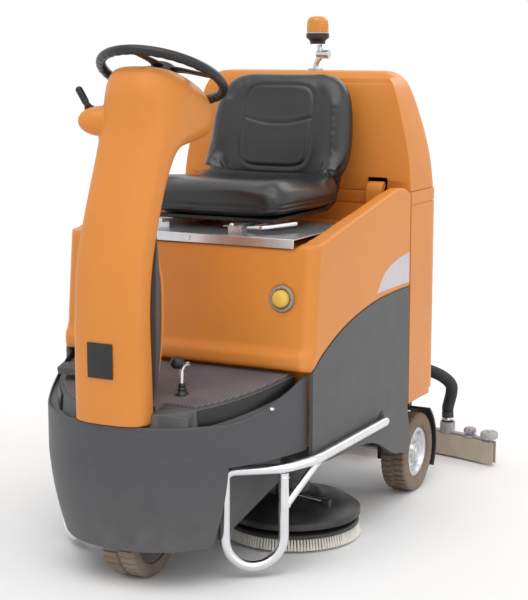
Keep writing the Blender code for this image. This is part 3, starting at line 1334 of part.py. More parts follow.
# ---------------------------------------------------------------- assembly
nose_tub()
footwell_deck()
footwell_mat()
column_cover()
rear_cover()
badge_plate()
wheel = steering_wheel()
shaft = steering_shaft()
pivot("steering_wheel_pivot", along_shaft(0.0))
hang("steering_wheel_pivot", wheel, shaft)
brake_lever()
accelerator_pedal()
drive_lever()
ignition_key()
key_fob()
for wing, way in SIDES:
    side_panel(wing, way)
    lid_latch(wing, way)
    mudguard(wing, way)
    road_wheel(wing, way)
    guard_rail(wing, way)
solution_tank()
release_knob()
recovery_tank()
recovery_lid()
beacon()
seat_plate()
seat()
chassis_frame()
rear_axle()
battery_pack()
suction_motor()
drive_unit()
brush_deck()
squeegee()
suction_hose()

# the layout above measures from the middle of the wheelbase; the origin is
# under the middle of the whole machine
for piece in list(MACHINE.objects) + list(CUTTERS.objects):
    if piece.parent is None:
        piece.location.y += ORIGIN_SHIFT
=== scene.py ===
import json
import math

import bmesh
import bpy
import numpy as np
from mathutils import Matrix, Vector
from mathutils.bvhtree import BVHTree

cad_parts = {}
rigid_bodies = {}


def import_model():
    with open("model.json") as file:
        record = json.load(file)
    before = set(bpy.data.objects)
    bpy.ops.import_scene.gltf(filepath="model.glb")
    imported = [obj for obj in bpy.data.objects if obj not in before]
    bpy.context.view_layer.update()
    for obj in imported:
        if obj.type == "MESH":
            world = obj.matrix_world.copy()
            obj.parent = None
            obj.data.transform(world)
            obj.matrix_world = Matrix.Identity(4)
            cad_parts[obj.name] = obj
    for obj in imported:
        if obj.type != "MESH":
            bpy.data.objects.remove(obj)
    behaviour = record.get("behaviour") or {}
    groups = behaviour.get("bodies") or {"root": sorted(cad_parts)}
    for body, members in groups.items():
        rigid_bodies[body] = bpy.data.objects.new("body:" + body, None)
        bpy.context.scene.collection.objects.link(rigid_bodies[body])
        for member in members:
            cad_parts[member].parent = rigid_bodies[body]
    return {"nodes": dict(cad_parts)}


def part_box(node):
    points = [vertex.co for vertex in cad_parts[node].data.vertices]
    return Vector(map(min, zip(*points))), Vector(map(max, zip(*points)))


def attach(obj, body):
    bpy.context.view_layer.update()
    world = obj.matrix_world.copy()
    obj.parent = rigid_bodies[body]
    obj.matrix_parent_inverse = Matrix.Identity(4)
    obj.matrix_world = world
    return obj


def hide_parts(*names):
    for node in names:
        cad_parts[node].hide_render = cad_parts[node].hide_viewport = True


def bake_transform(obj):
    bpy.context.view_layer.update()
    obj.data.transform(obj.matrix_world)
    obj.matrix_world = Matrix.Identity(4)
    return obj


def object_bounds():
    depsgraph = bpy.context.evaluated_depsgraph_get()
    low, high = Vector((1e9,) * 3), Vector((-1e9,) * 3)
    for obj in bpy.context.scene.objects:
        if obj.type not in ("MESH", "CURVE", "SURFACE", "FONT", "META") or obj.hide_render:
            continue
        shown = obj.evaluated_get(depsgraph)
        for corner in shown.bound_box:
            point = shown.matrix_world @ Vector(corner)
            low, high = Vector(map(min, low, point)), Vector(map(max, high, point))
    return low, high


for leftover in list(bpy.data.objects):
    bpy.data.objects.remove(leftover, do_unlink=True)

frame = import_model()
cad_low, cad_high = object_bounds()

# Camera and studio. The machine stands on a pale seamless floor and is seen from its
# front left quarter, a little above the seat, through a long lens from about 4.7 m.
# One soft high key lamp, a broad fill and an even pale sky light it.
LENS_MM = 92.8
CAMERA_TURN = math.radians(27.5)
CAMERA_RISE = math.radians(9.7)
CAMERA_REACH = 4.74
AIM = Vector((0.0, (cad_low.y + cad_high.y) / 2 + 0.033, 0.644))
SKY_LIGHT = 0.58
FLOOR_Z = -0.0005
FADE_FROM, FADE_TO = 1.6, 5.5

camera_data = bpy.data.cameras.new("studio_camera")
camera_data.lens = LENS_MM
camera_data.sensor_width = 36.0
camera_data.clip_end = 100.0
camera = bpy.data.objects.new("studio_camera", camera_data)
back = Vector((math.sin(CAMERA_TURN) * math.cos(CAMERA_RISE), -math.cos(CAMERA_TURN) * math.cos(CAMERA_RISE),
               math.sin(CAMERA_RISE)))
camera.location = AIM + back * CAMERA_REACH
camera.rotation_euler = (-back).to_track_quat("-Z", "Y").to_euler()
bpy.context.scene.collection.objects.link(camera)
bpy.context.scene.camera = camera
bpy.context.scene.view_settings.view_transform = "Standard"


def lamp(name, kind, strength, direction, spread):
    """A soft lamp that shines along a direction."""
    data = bpy.data.lights.new(name, kind)
    data.energy = strength
    if kind == "SUN":
        data.angle = math.radians(spread)
    else:
        data.shape = "DISK"
        data.size = spread
    made = bpy.data.objects.new(name, data)
    aim = Vector(direction).normalized()
    made.rotation_euler = aim.to_track_quat("-Z", "Y").to_euler()
    made.location = AIM - aim * 4.0
    bpy.context.scene.collection.objects.link(made)


lamp("key_lamp", "SUN", 1.30, (-0.05, 0.46, -1.0), 56.0)
lamp("side_lamp", "SUN", 0.46, (-0.9, 0.25, -0.55), 60.0)
lamp("rim_lamp", "AREA", 26.0, (-0.25, -0.9, -0.75), 2.6)

def maths(tree, kind, a, b):
    """One arithmetic step between sockets or numbers."""
    step = tree.nodes.new("ShaderNodeMath")
    step.operation = kind
    for i, value in enumerate((a, b)):
        if isinstance(value, (int, float)):
            step.inputs[i].default_value = value
        else:
            tree.links.new(value, step.inputs[i])
    return step.outputs[0]


def times(tree, a, b):
    """The product of two sockets or numbers."""
    return maths(tree, "MULTIPLY", a, b)


def plus(tree, a, b):
    """The sum of two sockets or numbers."""
    return maths(tree, "ADD", a, b)


def remap(tree, value, low, high, from_low=0.3, from_high=0.7):
    """A clamped range of a value; low and high are numbers or sockets."""
    step = tree.nodes.new("ShaderNodeMapRange")
    step.inputs["From Min"].default_value = from_low
    step.inputs["From Max"].default_value = from_high
    tree.links.new(value, step.inputs["Value"])
    for label, end in (("To Min", low), ("To Max", high)):
        if isinstance(end, (int, float)):
            step.inputs[label].default_value = end
        else:
            tree.links.new(end, step.inputs[label])
    return step.outputs["Result"]


def mixed(tree, share, a, b):
    """A colour between two colours."""
    step = tree.nodes.new("ShaderNodeMix")
    step.data_type = "RGBA"
    for index, value in ((0, share), (6, a), (7, b)):
        if isinstance(value, (int, float, tuple)):
            step.inputs[index].default_value = value
        else:
            tree.links.new(value, step.inputs[index])
    return step.outputs[2]


# the sky lights the machine softly, and is white where it's seen, mirrored or looked through
sky = bpy.data.worlds.new("studio_sky")
bpy.context.scene.world = sky
sky.use_nodes = True
tree = sky.node_tree
tree.nodes.clear()
rays = tree.nodes.new("ShaderNodeLightPath").outputs
seen = maths(tree, "MAXIMUM", rays["Is Camera Ray"], rays["Is Transmission Ray"])
seen = maths(tree, "MAXIMUM", seen, rays["Is Glossy Ray"])
glow = tree.nodes.new("ShaderNodeBackground")
glow.inputs["Color"].default_value = (1, 1, 1, 1)
tree.links.new(remap(tree, seen, SKY_LIGHT, 1.0, 0.0, 1.0), glow.inputs["Strength"])
tree.links.new(glow.outputs[0], tree.nodes.new("ShaderNodeOutputWorld").inputs["Surface"])

# the floor is pale under the machine and fades to the sky's white further out
floor_mesh = bpy.data.meshes.new("studio_floor")
floor_mesh.from_pydata([(x, y, FLOOR_Z) for x, y in ((-30, -30), (30, -30), (30, 60), (-30, 60))], [], [
    (0, 1, 2, 3)])
floor = bpy.data.objects.new("studio_floor", floor_mesh)
bpy.context.scene.collection.objects.link(floor)
floor_paint = bpy.data.materials.new("floor_paint")
floor_paint.use_nodes = True
tree = floor_paint.node_tree
shader = tree.nodes["Principled BSDF"]
mottle = tree.nodes.new("ShaderNodeTexNoise")
mottle.inputs["Scale"].default_value = 1.5
shade = mixed(tree, mottle.outputs["Fac"], (0.93, 0.93, 0.93, 1), (0.955, 0.955, 0.955, 1))
reach = tree.nodes.new("ShaderNodeVectorMath")
reach.operation = "LENGTH"
tree.links.new(tree.nodes.new("ShaderNodeTexCoord").outputs["Object"], reach.inputs[0])
far = remap(tree, reach.outputs["Value"], 0.0, 1.0, FADE_FROM, FADE_TO)
far.node.interpolation_type = "SMOOTHSTEP"
rays = tree.nodes.new("ShaderNodeLightPath").outputs
away = times(tree, far, maths(tree, "MAXIMUM", rays["Is Camera Ray"], rays["Is Glossy Ray"]))
tree.links.new(mixed(tree, away, shade, (0, 0, 0, 1)), shader.inputs["Base Color"])
tree.links.new(away, shader.inputs["Emission Color"])
shader.inputs["Emission Strength"].default_value = 1.0
shader.inputs["Roughness"].default_value = 0.9
shader.inputs["Specular IOR Level"].default_value = 0.1
floor_mesh.materials.append(floor_paint)

# Suction hose. A corrugated black rubber hose of 42 mm runs from the recovery tank's
# back down to the squeegee's port, with a smooth clamped cuff at each end. It is made
# as an upper and a lower length.
SETBACK = 0.0178                # the machine stands this far back of its layout origin
HOSE_R = 0.021
HOSE_PITCH = 0.0075
RIDGE_STEPS = 8                 # rings along one corrugation
RIDGE_DEPTH = 0.0030
CUFF_LENGTH = 0.034
ARM_SHARE = 0.62                # the share of the hose in its upper length
SQUEEGEE_HALF = 0.500
SQUEEGEE_BOW = 0.36
SQUEEGEE_Y = 0.838 + SETBACK
PORT_X = 0.310


def group(name, entries):
    """A shader node group from named inputs to a colour, a roughness and a height."""
    made = bpy.data.node_groups.new(name, "ShaderNodeTree")
    for label, value in entries.items():
        kind = "NodeSocketColor" if isinstance(value, tuple) else "NodeSocketFloat"
        made.interface.new_socket(name=label, in_out="INPUT", socket_type=kind).default_value = value
    for label, kind in (
        ("Colour", "NodeSocketColor"), ("Roughness", "NodeSocketFloat"), ("Height", "NodeSocketFloat")):
        made.interface.new_socket(name=label, in_out="OUTPUT", socket_type=kind)
    return made, made.nodes.new("NodeGroupInput").outputs, made.nodes.new("NodeGroupOutput").inputs


def noise_in(tree, place, scale_from, times=1.0, detail=3.0, stretch=(1, 1, 1)):
    """A noise whose scale comes from a group input, stretched along the machine's axes."""
    size = tree.nodes.new("ShaderNodeMapping")
    size.inputs["Scale"].default_value = stretch
    tree.links.new(place, size.inputs["Vector"])
    scaled = tree.nodes.new("ShaderNodeMath")
    scaled.operation = "MULTIPLY"
    scaled.inputs[1].default_value = times
    tree.links.new(scale_from, scaled.inputs[0])
    noise = tree.nodes.new("ShaderNodeTexNoise")
    noise.inputs["Detail"].default_value = detail
    tree.links.new(size.outputs[0], noise.inputs["Vector"])
    tree.links.new(scaled.outputs[0], noise.inputs["Scale"])
    return noise.outputs["Fac"]


# moulded surface: a fine spark-eroded grain, slow mottling, scuffs and floor dust low down
moulded, ins, outs = group("moulded_surface", {
    "Colour": (0.5, 0.5, 0.5, 1), "Worn Colour": (0.6, 0.6, 0.6, 1), "Grain": 700.0, "Roughness": 0.45,
    "Scuffs": 0.25, "Dust": 0.3})
place = moulded.nodes.new("ShaderNodeTexCoord").outputs["Object"]
slow = noise_in(moulded, place, ins["Grain"], 0.006, 4.0)
cloud = noise_in(moulded, place, ins["Grain"], 0.03, 3.0)
grain = noise_in(moulded, place, ins["Grain"], 1.0, 2.0)
scuff = noise_in(moulded, place, ins["Grain"], 0.05, 8.0, (1.0, 1.0, 4.0))
scratch = times(moulded, remap(moulded, scuff, 0.0, 1.0, 0.62, 0.74), ins["Scuffs"])
height_up = moulded.nodes.new("ShaderNodeSeparateXYZ")
moulded.links.new(place, height_up.inputs[0])
low_down = remap(moulded, height_up.outputs["Z"], 1.0, 0.0, 0.03, 0.34)
dusty = times(moulded, times(moulded, low_down, remap(moulded, cloud, 0.25, 1.0)), ins["Dust"])
tone = mixed(moulded, remap(moulded, slow, 0.94, 1.05), (0, 0, 0, 1), ins["Colour"])
tone = mixed(moulded, scratch, tone, ins["Worn Colour"])
tone = mixed(moulded, dusty, tone, (0.36, 0.33, 0.29, 1))
moulded.links.new(tone, outs["Colour"])
uneven = times(moulded, maths(moulded, "SUBTRACT", cloud, 0.5), 0.16)
rough = plus(moulded, plus(moulded, ins["Roughness"], uneven), times(moulded, plus(moulded, scratch, dusty), 0.35))
moulded.links.new(rough, outs["Roughness"])
moulded.links.new(plus(moulded, grain, times(moulded, cloud, 0.7)), outs["Height"])


def finish(name, recipe, values, metallic=0.0, bump=0.12, depth=0.0004, extra=()):
    """A material: one surface group that feeds a Principled shader."""
    made = bpy.data.materials.new(name)
    made.use_nodes = True
    tree = made.node_tree
    shader = tree.nodes["Principled BSDF"]
    use = tree.nodes.new("ShaderNodeGroup")
    use.node_tree = recipe
    for label, value in values.items():
        use.inputs[label].default_value = (*value, 1.0) if isinstance(value, tuple) else value
    tree.links.new(use.outputs["Colour"], shader.inputs["Base Color"])
    tree.links.new(use.outputs["Roughness"], shader.inputs["Roughness"])
    relief = tree.nodes.new("ShaderNodeBump")
    relief.inputs["Strength"].default_value = bump
    relief.inputs["Distance"].default_value = depth
    tree.links.new(use.outputs["Height"], relief.inputs["Height"])
    tree.links.new(relief.outputs["Normal"], shader.inputs["Normal"])
    shader.inputs["Metallic"].default_value = metallic
    for label, value in extra:
        shader.inputs[label].default_value = value
    return made


def mesh_piece(name, points, faces, material, sharp=35.0):
    """A named mesh with outward faces, smooth up to an angle."""
    mesh = bpy.data.meshes.new(name)
    mesh.from_pydata([tuple(p) for p in points], [], faces)
    made = bpy.data.objects.new(name, mesh)
    bpy.context.scene.collection.objects.link(made)
    if material:
        mesh.materials.append(material)
    return settle(made, sharp)


def settle(obj, sharp=35.0, weld=1e-6):
    """Merge doubled points, turn faces outwards and shade smooth up to an angle."""
    work = bmesh.new()
    work.from_mesh(obj.data)
    bmesh.ops.remove_doubles(work, verts=work.verts, dist=weld)
    bmesh.ops.recalc_face_normals(work, faces=work.faces)
    work.to_mesh(obj.data)
    work.free()
    obj.data.shade_smooth()
    obj.data.set_sharp_from_angle(angle=math.radians(sharp))
    return obj


def skin(name, rings, material, caps=True, joined=False, sharp=35.0):
    """A surface through closed rings with equal numbers of points."""
    count = len(rings[0])
    points = [p for ring in rings for p in ring]
    faces = []
    rows = len(rings)
    for r in range(rows if joined else rows - 1):
        a, b = r * count, ((r + 1) % rows) * count
        faces += [(a + i, a + (i + 1) % count, b + (i + 1) % count, b + i) for i in range(count)]
    if caps and not joined:
        faces.append(tuple(range(count))[::-1])
        faces.append(tuple(range((rows - 1) * count, rows * count)))
    return mesh_piece(name, points, faces, material, sharp)


def through(spots, steps):
    """A smooth line through spots, which are vectors or rows of numbers."""
    spots = [2 * spots[0] - spots[1]] + spots + [2 * spots[-1] - spots[-2]]
    made = []
    for a, b, c, d in zip(spots, spots[1:], spots[2:], spots[3:]):
        for i in range(steps):
            t = i / steps
            made.append(0.5 * (2 * b + (c - a) * t + (2 * a - 5 * b + 4 * c - d) * t * t
                               + (3 * b - a - 3 * c + d) * t ** 3))
    return made + [spots[-2]]


def flow(points, per_span):
    """A smooth curve through given points."""
    return through([Vector(p) for p in points], per_span)


def even(route, pitch):
    """The same line with points an even distance apart."""
    line = np.array([tuple(p) for p in route])
    run = np.concatenate([[0], np.cumsum(np.linalg.norm(np.diff(line, axis=0), axis=1))])
    marks = np.linspace(0, run[-1], max(3, int(round(run[-1] / pitch)) + 1))
    return [Vector([np.interp(m, run, line[:, k]) for k in range(3)]) for m in marks]


def round_about(count):
    """Even angles round a circle."""
    return [2 * math.pi * i / count for i in range(count)]


def pipe_rings(route, radii, around=24):
    """Circles along a line, turned without twist."""
    rings = []
    side = None
    for i, spot in enumerate(route):
        ahead = (route[min(i + 1, len(route) - 1)] - route[max(i - 1, 0)]).normalized()
        side = (side if side is not None else ahead.orthogonal()).normalized()
        side = (side - ahead * side.dot(ahead)).normalized()
        up = ahead.cross(side)
        r = radii[i] if hasattr(radii, "__len__") else radii
        rings.append([spot + (side * math.cos(a) + up * math.sin(a)) * r for a in round_about(around)])
    return rings


def place_on(obj, body, slot, *stands_for):
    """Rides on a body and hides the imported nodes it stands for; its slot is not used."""
    if body:
        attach(obj, body)
    if stands_for:
        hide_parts(*stands_for)
    return obj


hose_rubber = finish("hose_rubber", moulded, {
    "Colour": (0.014, 0.014, 0.016), "Worn Colour": (0.05, 0.05, 0.05),
    "Grain": 900.0, "Roughness": 0.52, "Scuffs": 0.3, "Dust": 0.12}, bump=0.1)
hose_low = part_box("suction_hose")[0]
tank_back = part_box("recovery_tank")[1].y
port_y = SQUEEGEE_Y - SQUEEGEE_BOW * PORT_X ** 2 - 0.002
start = Vector((0.266, tank_back + 0.0006, 0.372))
end = Vector((PORT_X, port_y, hose_low.z))
bends = (start, start + Vector((0, 0.016, 0)), (0.276, 0.535 + SETBACK, 0.366), (0.304, 0.590 + SETBACK, 0.348),
         (0.338, 0.655 + SETBACK, 0.316), (0.350, 0.716 + SETBACK, 0.276), (0.334, 0.768 + SETBACK, 0.232),
         end + Vector((0, 0, 0.050)), end + Vector((0, 0, 0.020)), end)
route = even(flow(bends, 12), HOSE_PITCH / RIDGE_STEPS)
cuff = int(CUFF_LENGTH / (HOSE_PITCH / RIDGE_STEPS))
radii = []
for i in range(len(route)):
    ridge = 0.5 + 0.5 * math.cos(2 * math.pi * i / RIDGE_STEPS)
    smooth_end = i < cuff or i > len(route) - 1 - cuff
    radii.append(HOSE_R - 0.0006 if smooth_end else HOSE_R - 0.0034 + RIDGE_DEPTH * ridge ** 0.7)
middle = int(len(route) * ARM_SHARE)
upper_hose = skin("suction_hose_upper", pipe_rings(route[:middle + 1], radii[:middle + 1], 28), hose_rubber)
lower_hose = skin("suction_hose_lower", pipe_rings(route, radii, 28)[middle:], hose_rubber)
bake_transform(upper_hose)
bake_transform(lower_hose)
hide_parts("suction_hose")

# Chassis, battery, turbine and drive. Welded steel frame in black paint, a battery block on
# its rails, a pressed steel vacuum turbine and the painted fork with its traction motor.
# The imported shapes are kept; the turbine, the axle and the traction motor have their edges broken as a fabricator
# would.
plate_skin, ins, outs = group("plate_surface", {
    "Colour": (0.5, 0.5, 0.5, 1), "Shade": (0.3, 0.3, 0.3, 1), "Grain": 300.0, "Roughness": 0.3, "Streaks": 0.4})
place = plate_skin.nodes.new("ShaderNodeTexCoord").outputs["Object"]
patches = noise_in(plate_skin, place, ins["Grain"], 0.06, 5.0)
drawn = noise_in(plate_skin, place, ins["Grain"], 1.0, 3.0, (1.0, 0.08, 1.0))
fine = noise_in(plate_skin, place, ins["Grain"], 3.0, 2.0)
share = times(plate_skin, remap(plate_skin, patches, 0.0, 1.0, 0.42, 0.68), ins["Streaks"])
plate_skin.links.new(mixed(plate_skin, share, ins["Colour"], ins["Shade"]), outs["Colour"])
uneven = times(plate_skin, maths(plate_skin, "SUBTRACT", drawn, 0.5), 0.22)
rough = plus(plate_skin, ins["Roughness"], uneven)
plate_skin.links.new(plus(plate_skin, rough, times(plate_skin, share, 0.12)), outs["Roughness"])
plate_skin.links.new(plus(plate_skin, drawn, fine), outs["Height"])

black_paint = finish("black_paint", moulded, {
    "Colour": (0.022, 0.022, 0.024), "Worn Colour": (0.10, 0.095, 0.09),
    "Grain": 500.0, "Roughness": 0.38, "Scuffs": 0.35, "Dust": 0.35}, bump=0.08)
zinc = finish("zinc_plate", plate_skin, {
    "Colour": (0.66, 0.67, 0.69), "Shade": (0.46, 0.46, 0.46),
    "Grain": 260.0, "Roughness": 0.30, "Streaks": 0.5}, 1.0, 0.05, 0.0002)
black_moulding = finish("black_moulding", moulded, {
    "Colour": (0.013, 0.013, 0.015), "Worn Colour": (0.05, 0.05, 0.05),
    "Grain": 800.0, "Roughness": 0.42, "Scuffs": 0.2, "Dust": 0.1}, bump=0.15)


def baked(obj):
    """The object's modifiers made part of its mesh."""
    graph = bpy.context.evaluated_depsgraph_get()
    made = bpy.data.meshes.new_from_object(obj.evaluated_get(graph))
    obj.modifiers.clear()
    obj.data = made
    return obj


def eased(obj, radius, steps=2, angle=38.0, sharp=40.0):
    """Edges over an angle rounded to a radius, flats kept flat."""
    edge = obj.modifiers.new("edge", "BEVEL")
    edge.width = radius
    edge.segments = steps
    edge.limit_method = "ANGLE"
    edge.angle_limit = math.radians(angle)
    edge.miter_outer = "MITER_ARC"
    baked(obj)
    settle(obj, sharp)
    flats = obj.modifiers.new("flats", "WEIGHTED_NORMAL")
    flats.keep_sharp = True
    return obj


def recast(node, body, slot, material, radius=0.0015, steps=2, angle=38.0):
    """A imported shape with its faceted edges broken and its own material."""
    made = bpy.data.objects.new(node + "_finished", frame["nodes"][node].data.copy())
    bpy.context.scene.collection.objects.link(made)
    work = bmesh.new()
    work.from_mesh(made.data)
    bmesh.ops.remove_doubles(work, verts=work.verts, dist=2e-5)
    bmesh.ops.dissolve_limit(work, angle_limit=math.radians(1.0), verts=work.verts, edges=work.edges)
    work.to_mesh(made.data)
    work.free()
    made.data.materials.clear()
    made.data.materials.append(material)
    if radius:
        eased(made, radius, steps, angle)
    else:
        settle(made)
    return place_on(made, body, slot, node)


recast("chassis_frame", "chassis", "painted_steel", black_paint, 0.0)
recast("battery_pack", "chassis", "black_plastic", black_moulding, 0.0)
recast("suction_motor", "chassis", "plated_steel", zinc, 0.002)
recast("rear_axle", "chassis", "plated_steel", zinc, 0.001)
recast("steering_yoke", "drive_fork", "painted_steel", black_paint, 0.0)
recast("traction_motor", "drive_fork", "painted_steel", black_paint, 0.003)

# Nose tub. A rotomoulded shell of dark grey polyethylene round the front wheel, 6 mm thick,
# with a rolled rim, sides that draw in below, and a recess in each flank for the guard hoop.
BODY_HALF = 0.400
NOSE_Y = -0.875 + SETBACK
SEAM_Y = -0.468 + SETBACK
TUB_MID_Y = -0.235 + SETBACK
TUB_POWER = 2.3
TUB_WALL = 0.006
RIM_Z = 0.452
RIM_RISE = 0.092
TUB_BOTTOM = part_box("nose_tub")[0].z
TUB_DRAFT = ((0.330, 0.000, 0.000), (0.295, 0.004, 0.001), (0.260, 0.010, 0.003), (0.225, 0.018, 0.0055),
             (0.190, 0.028, 0.009), (0.150, 0.042, 0.014), (TUB_BOTTOM, 0.058, 0.020))

tub_plastic = finish("tub_plastic", moulded, {
    "Colour": (0.068, 0.067, 0.074), "Worn Colour": (0.17, 0.165, 0.17),
    "Grain": 620.0, "Roughness": 0.50, "Scuffs": 0.16, "Dust": 0.22}, bump=0.22)
panel_plastic = finish("panel_plastic", moulded, {
    "Colour": (0.080, 0.080, 0.081), "Worn Colour": (0.20, 0.20, 0.20),
    "Grain": 620.0, "Roughness": 0.52, "Scuffs": 0.14, "Dust": 0.2}, bump=0.22)


def nose_outline(inset_x, inset_y, back_y, count):
    """Plan outline of the nose, left seam round the front to the right seam."""
    depth = TUB_MID_Y - NOSE_Y - inset_y
    last = math.asin(min(1.0, ((TUB_MID_Y - back_y) / depth) ** (TUB_POWER / 2)))
    points = []
    for i in range(count + 1):
        a = last + (math.pi - 2 * last) * i / count
        c = math.cos(a)
        points.append(((BODY_HALF - inset_x) * math.copysign(abs(c) ** (2 / TUB_POWER), c),
                       TUB_MID_Y - depth * math.sin(a) ** (2 / TUB_POWER)))
    return points


def rim_height(y):
    """Height of the rim: level at the front, climbing to the seam."""
    start = NOSE_Y + 0.15
    return RIM_Z + RIM_RISE * max(0.0, (y - start) / (SEAM_Y - start)) ** 1.4


def prism(name, outline, low, high, along="Z", material=None):
    """A straight block over an outline; along Z from plan points, along X from side points."""
    lift = {"Z": lambda p, d: (p[0], p[1], d), "X": lambda p, d: (d, p[0], p[1])}[along]
    return skin(name, [[lift(p, low) for p in outline], [lift(p, high) for p in outline]], material)


def carve(obj, tool, join=False):
    """Cuts one solid from another, or joins it on."""
    cut = obj.modifiers.new("cut", "BOOLEAN")
    cut.operation = "UNION" if join else "DIFFERENCE"
    cut.object = tool
    cut.solver = "EXACT"
    baked(obj)
    bpy.data.objects.remove(tool)
    return obj


def nose_solid(name, wall, back_y, lift, material):
    """The nose filled in, drawn in by a wall."""
    count = 96
    outline = nose_outline(wall, wall, back_y, count)
    rings = []
    if not wall:
        for inset, drop in ((0.0026, 0.0), (0.0010, 0.0010), (0.0, 0.0028)):
            rings.append([(x, y, rim_height(y) - drop) for x, y in nose_outline(inset, inset, back_y, count)])
    else:
        rings.append([(x, y, rim_height(y) + lift) for x, y in outline])
    for z, side, front in TUB_DRAFT:
        low = z - 0.05 if wall and z == TUB_BOTTOM else z
        rings.append([(x, y, low) for x, y in nose_outline(side + wall, front + wall, back_y, count)])
    made = skin(name, rings[::-1], material)
    for sign in (1.0, -1.0):
        outline = [(0.215 - wall, -0.728 + SETBACK - wall), (0.6, -0.728 + SETBACK - wall), (0.6, -0.30 + SETBACK),
                   (0.36 - wall, -0.30 + SETBACK), (0.300 - wall, SEAM_Y - 0.007), (0.215 - wall, -0.650 + SETBACK)]
        carve(made, prism("recess", [(x * sign, y) for x, y in outline], -0.1, 0.336 + wall))
    return made


tub = nose_solid("nose_tub_shell", 0.0, SEAM_Y - 0.0003, 0.0, tub_plastic)
carve(tub, nose_solid("tub_inside", TUB_WALL, SEAM_Y + 0.05, 0.08, None))
slope = [(y + SETBACK, z) for y, z in (
    (-0.655, -0.02), (-0.640, 0.112), (-0.462, 0.245), (-0.30, 0.30), (-0.30, -0.02))]
carve(tub, prism("slope", slope, -0.5, 0.5, "X"))
settle(tub, 28.0, 1e-5)
place_on(tub, "chassis", "dark_shell", "nose_tub")

# Footwell. A grey moulded floor with a ledge just inside the rim and a raised step, a dark
# riser with two chrome screws and a notch box at its front, and a ribbed rubber mat on top.
STEP_INSET = 0.032
STEP_Z = 0.470
STEP_SLOPE = 0.17
LEDGE_SLOPE = (RIM_RISE - 0.002) / (SEAM_Y - NOSE_Y)
LEDGE_Z = RIM_Z - 0.035
COLUMN_FOOT = (-0.828 + SETBACK, 0.057, 0.108)


def oval(half_x, half_y, power, count):
    """Points round a rounded rectangle."""
    points = []
    for a in round_about(count):
        c, s = math.cos(a), math.sin(a)
        points.append((half_x * math.copysign(abs(c) ** (2 / power), c),
                       half_y * math.copysign(abs(s) ** (2 / power), s)))
    return points


def oblong(low_x, high_x, low_y, high_y):
    """Corners of a rectangle in plan."""
    return [(low_x, low_y), (high_x, low_y), (high_x, high_y), (low_x, high_y)]


def ramp(points, height, slope):
    """Plan points lifted on to a ramp that climbs from the nose."""
    return [(x, y, height + slope * (y - NOSE_Y)) for x, y in points]


def stepped(inset, back):
    """The step's outline drawn in."""
    return nose_outline(inset, inset, back, 96)


def foot_slot(grow):
    """The hole that the column's foot stands in."""
    y0, deep, wide = COLUMN_FOOT
    return prism("foot_slot", [(x, y + y0) for x, y in oval(wide + grow, deep + grow, 2.7, 64)], RIM_Z - 0.0003,
                 0.60)


deck_back = SEAM_Y - 0.004
edge = TUB_WALL + 0.0006
deck_rows = (
    (edge, 0.0, RIM_Z - 0.060, LEDGE_SLOPE), (edge, 0.0, LEDGE_Z - 0.0015, LEDGE_SLOPE),
    (edge + 0.0015, 0.0, LEDGE_Z, LEDGE_SLOPE), (STEP_INSET - 0.004, 0.004, LEDGE_Z, LEDGE_SLOPE),
    (STEP_INSET, 0.004, LEDGE_Z + 0.003, LEDGE_SLOPE), (STEP_INSET + 0.003, 0.005, STEP_Z - 0.003, STEP_SLOPE),
    (STEP_INSET + 0.006, 0.005, STEP_Z, STEP_SLOPE))
deck = skin("footwell_floor", [ramp(stepped(inset, deck_back - short), z, climb)
                               for inset, short, z, climb in deck_rows], panel_plastic)
carve(deck, foot_slot(0.0006))
pad = eased(prism("pedal_pad", [(0.1125, -0.818 + SETBACK), (0.208, -0.806 + SETBACK), (0.196, -0.756 + SETBACK),
                                (0.1125, -0.761 + SETBACK)], RIM_Z - 0.034, RIM_Z + 0.026), 0.004, 3)
carve(deck, pad, True)
settle(deck, 30.0, 1e-5)
place_on(deck, "chassis", "grey_shell", "footwell_deck")

RISER_IN = STEP_INSET - 0.0040
SIDES = (("left", 1.0), ("right", -1.0))
for side, sign in SIDES:
    outer_line = [p for p in stepped(RISER_IN, deck_back - 0.006) if p[0] > 0.208]
    inner_line = [p for p in stepped(RISER_IN + 0.0075, deck_back - 0.006) if p[0] > 0.204][-len(outer_line):]
    bands = []
    for (x0, y0), (x1, y1) in zip(outer_line, inner_line):
        foot = LEDGE_Z + LEDGE_SLOPE * (y0 - NOSE_Y) - 0.002
        crest = max(foot + 0.006, STEP_Z + STEP_SLOPE * (y1 - NOSE_Y) - 0.002)
        bands.append([(sign * x0, y0, foot), (sign * x0, y0, foot + 0.7 * (crest - foot)),
                      (sign * (x0 * 0.7 + x1 * 0.3), y0 * 0.7 + y1 * 0.3, crest), (sign * x1, y1, crest),
                      (sign * x1, y1, foot)])
    place_on(skin("riser_strip_" + side, bands, black_moulding), "chassis", "black_plastic")

mat_ribs, ins, outs = group("ribbed_rubber", {
    "Colour": (0.1, 0.1, 0.1, 1), "Rib Pitch": 0.012, "Roughness": 0.75})
place = mat_ribs.nodes.new("ShaderNodeTexCoord").outputs["Object"]
split = mat_ribs.nodes.new("ShaderNodeSeparateXYZ")
mat_ribs.links.new(place, split.inputs[0])
turn = maths(mat_ribs, "DIVIDE", split.outputs["X"], ins["Rib Pitch"])
rib = maths(mat_ribs, "PINGPONG", turn, 0.5)
ridge = remap(mat_ribs, rib, 0.0, 1.0, 0.10, 0.22)
speck = noise_in(mat_ribs, place, maths(mat_ribs, "DIVIDE", 5.0, ins["Rib Pitch"]), 1.0, 4.0)
worn = noise_in(mat_ribs, place, maths(mat_ribs, "DIVIDE", 0.08, ins["Rib Pitch"]), 1.0, 5.0)
tone = mixed(mat_ribs, remap(mat_ribs, worn, 0.0, 0.45, 0.4, 0.66), ins["Colour"], (0.24, 0.215, 0.22, 1))
# painted shade: the grooves between the ribs are painted darker than the rib tops
tone = mixed(mat_ribs, ridge, mixed(mat_ribs, 0.35, tone, (0.03, 0.03, 0.03, 1)), tone)
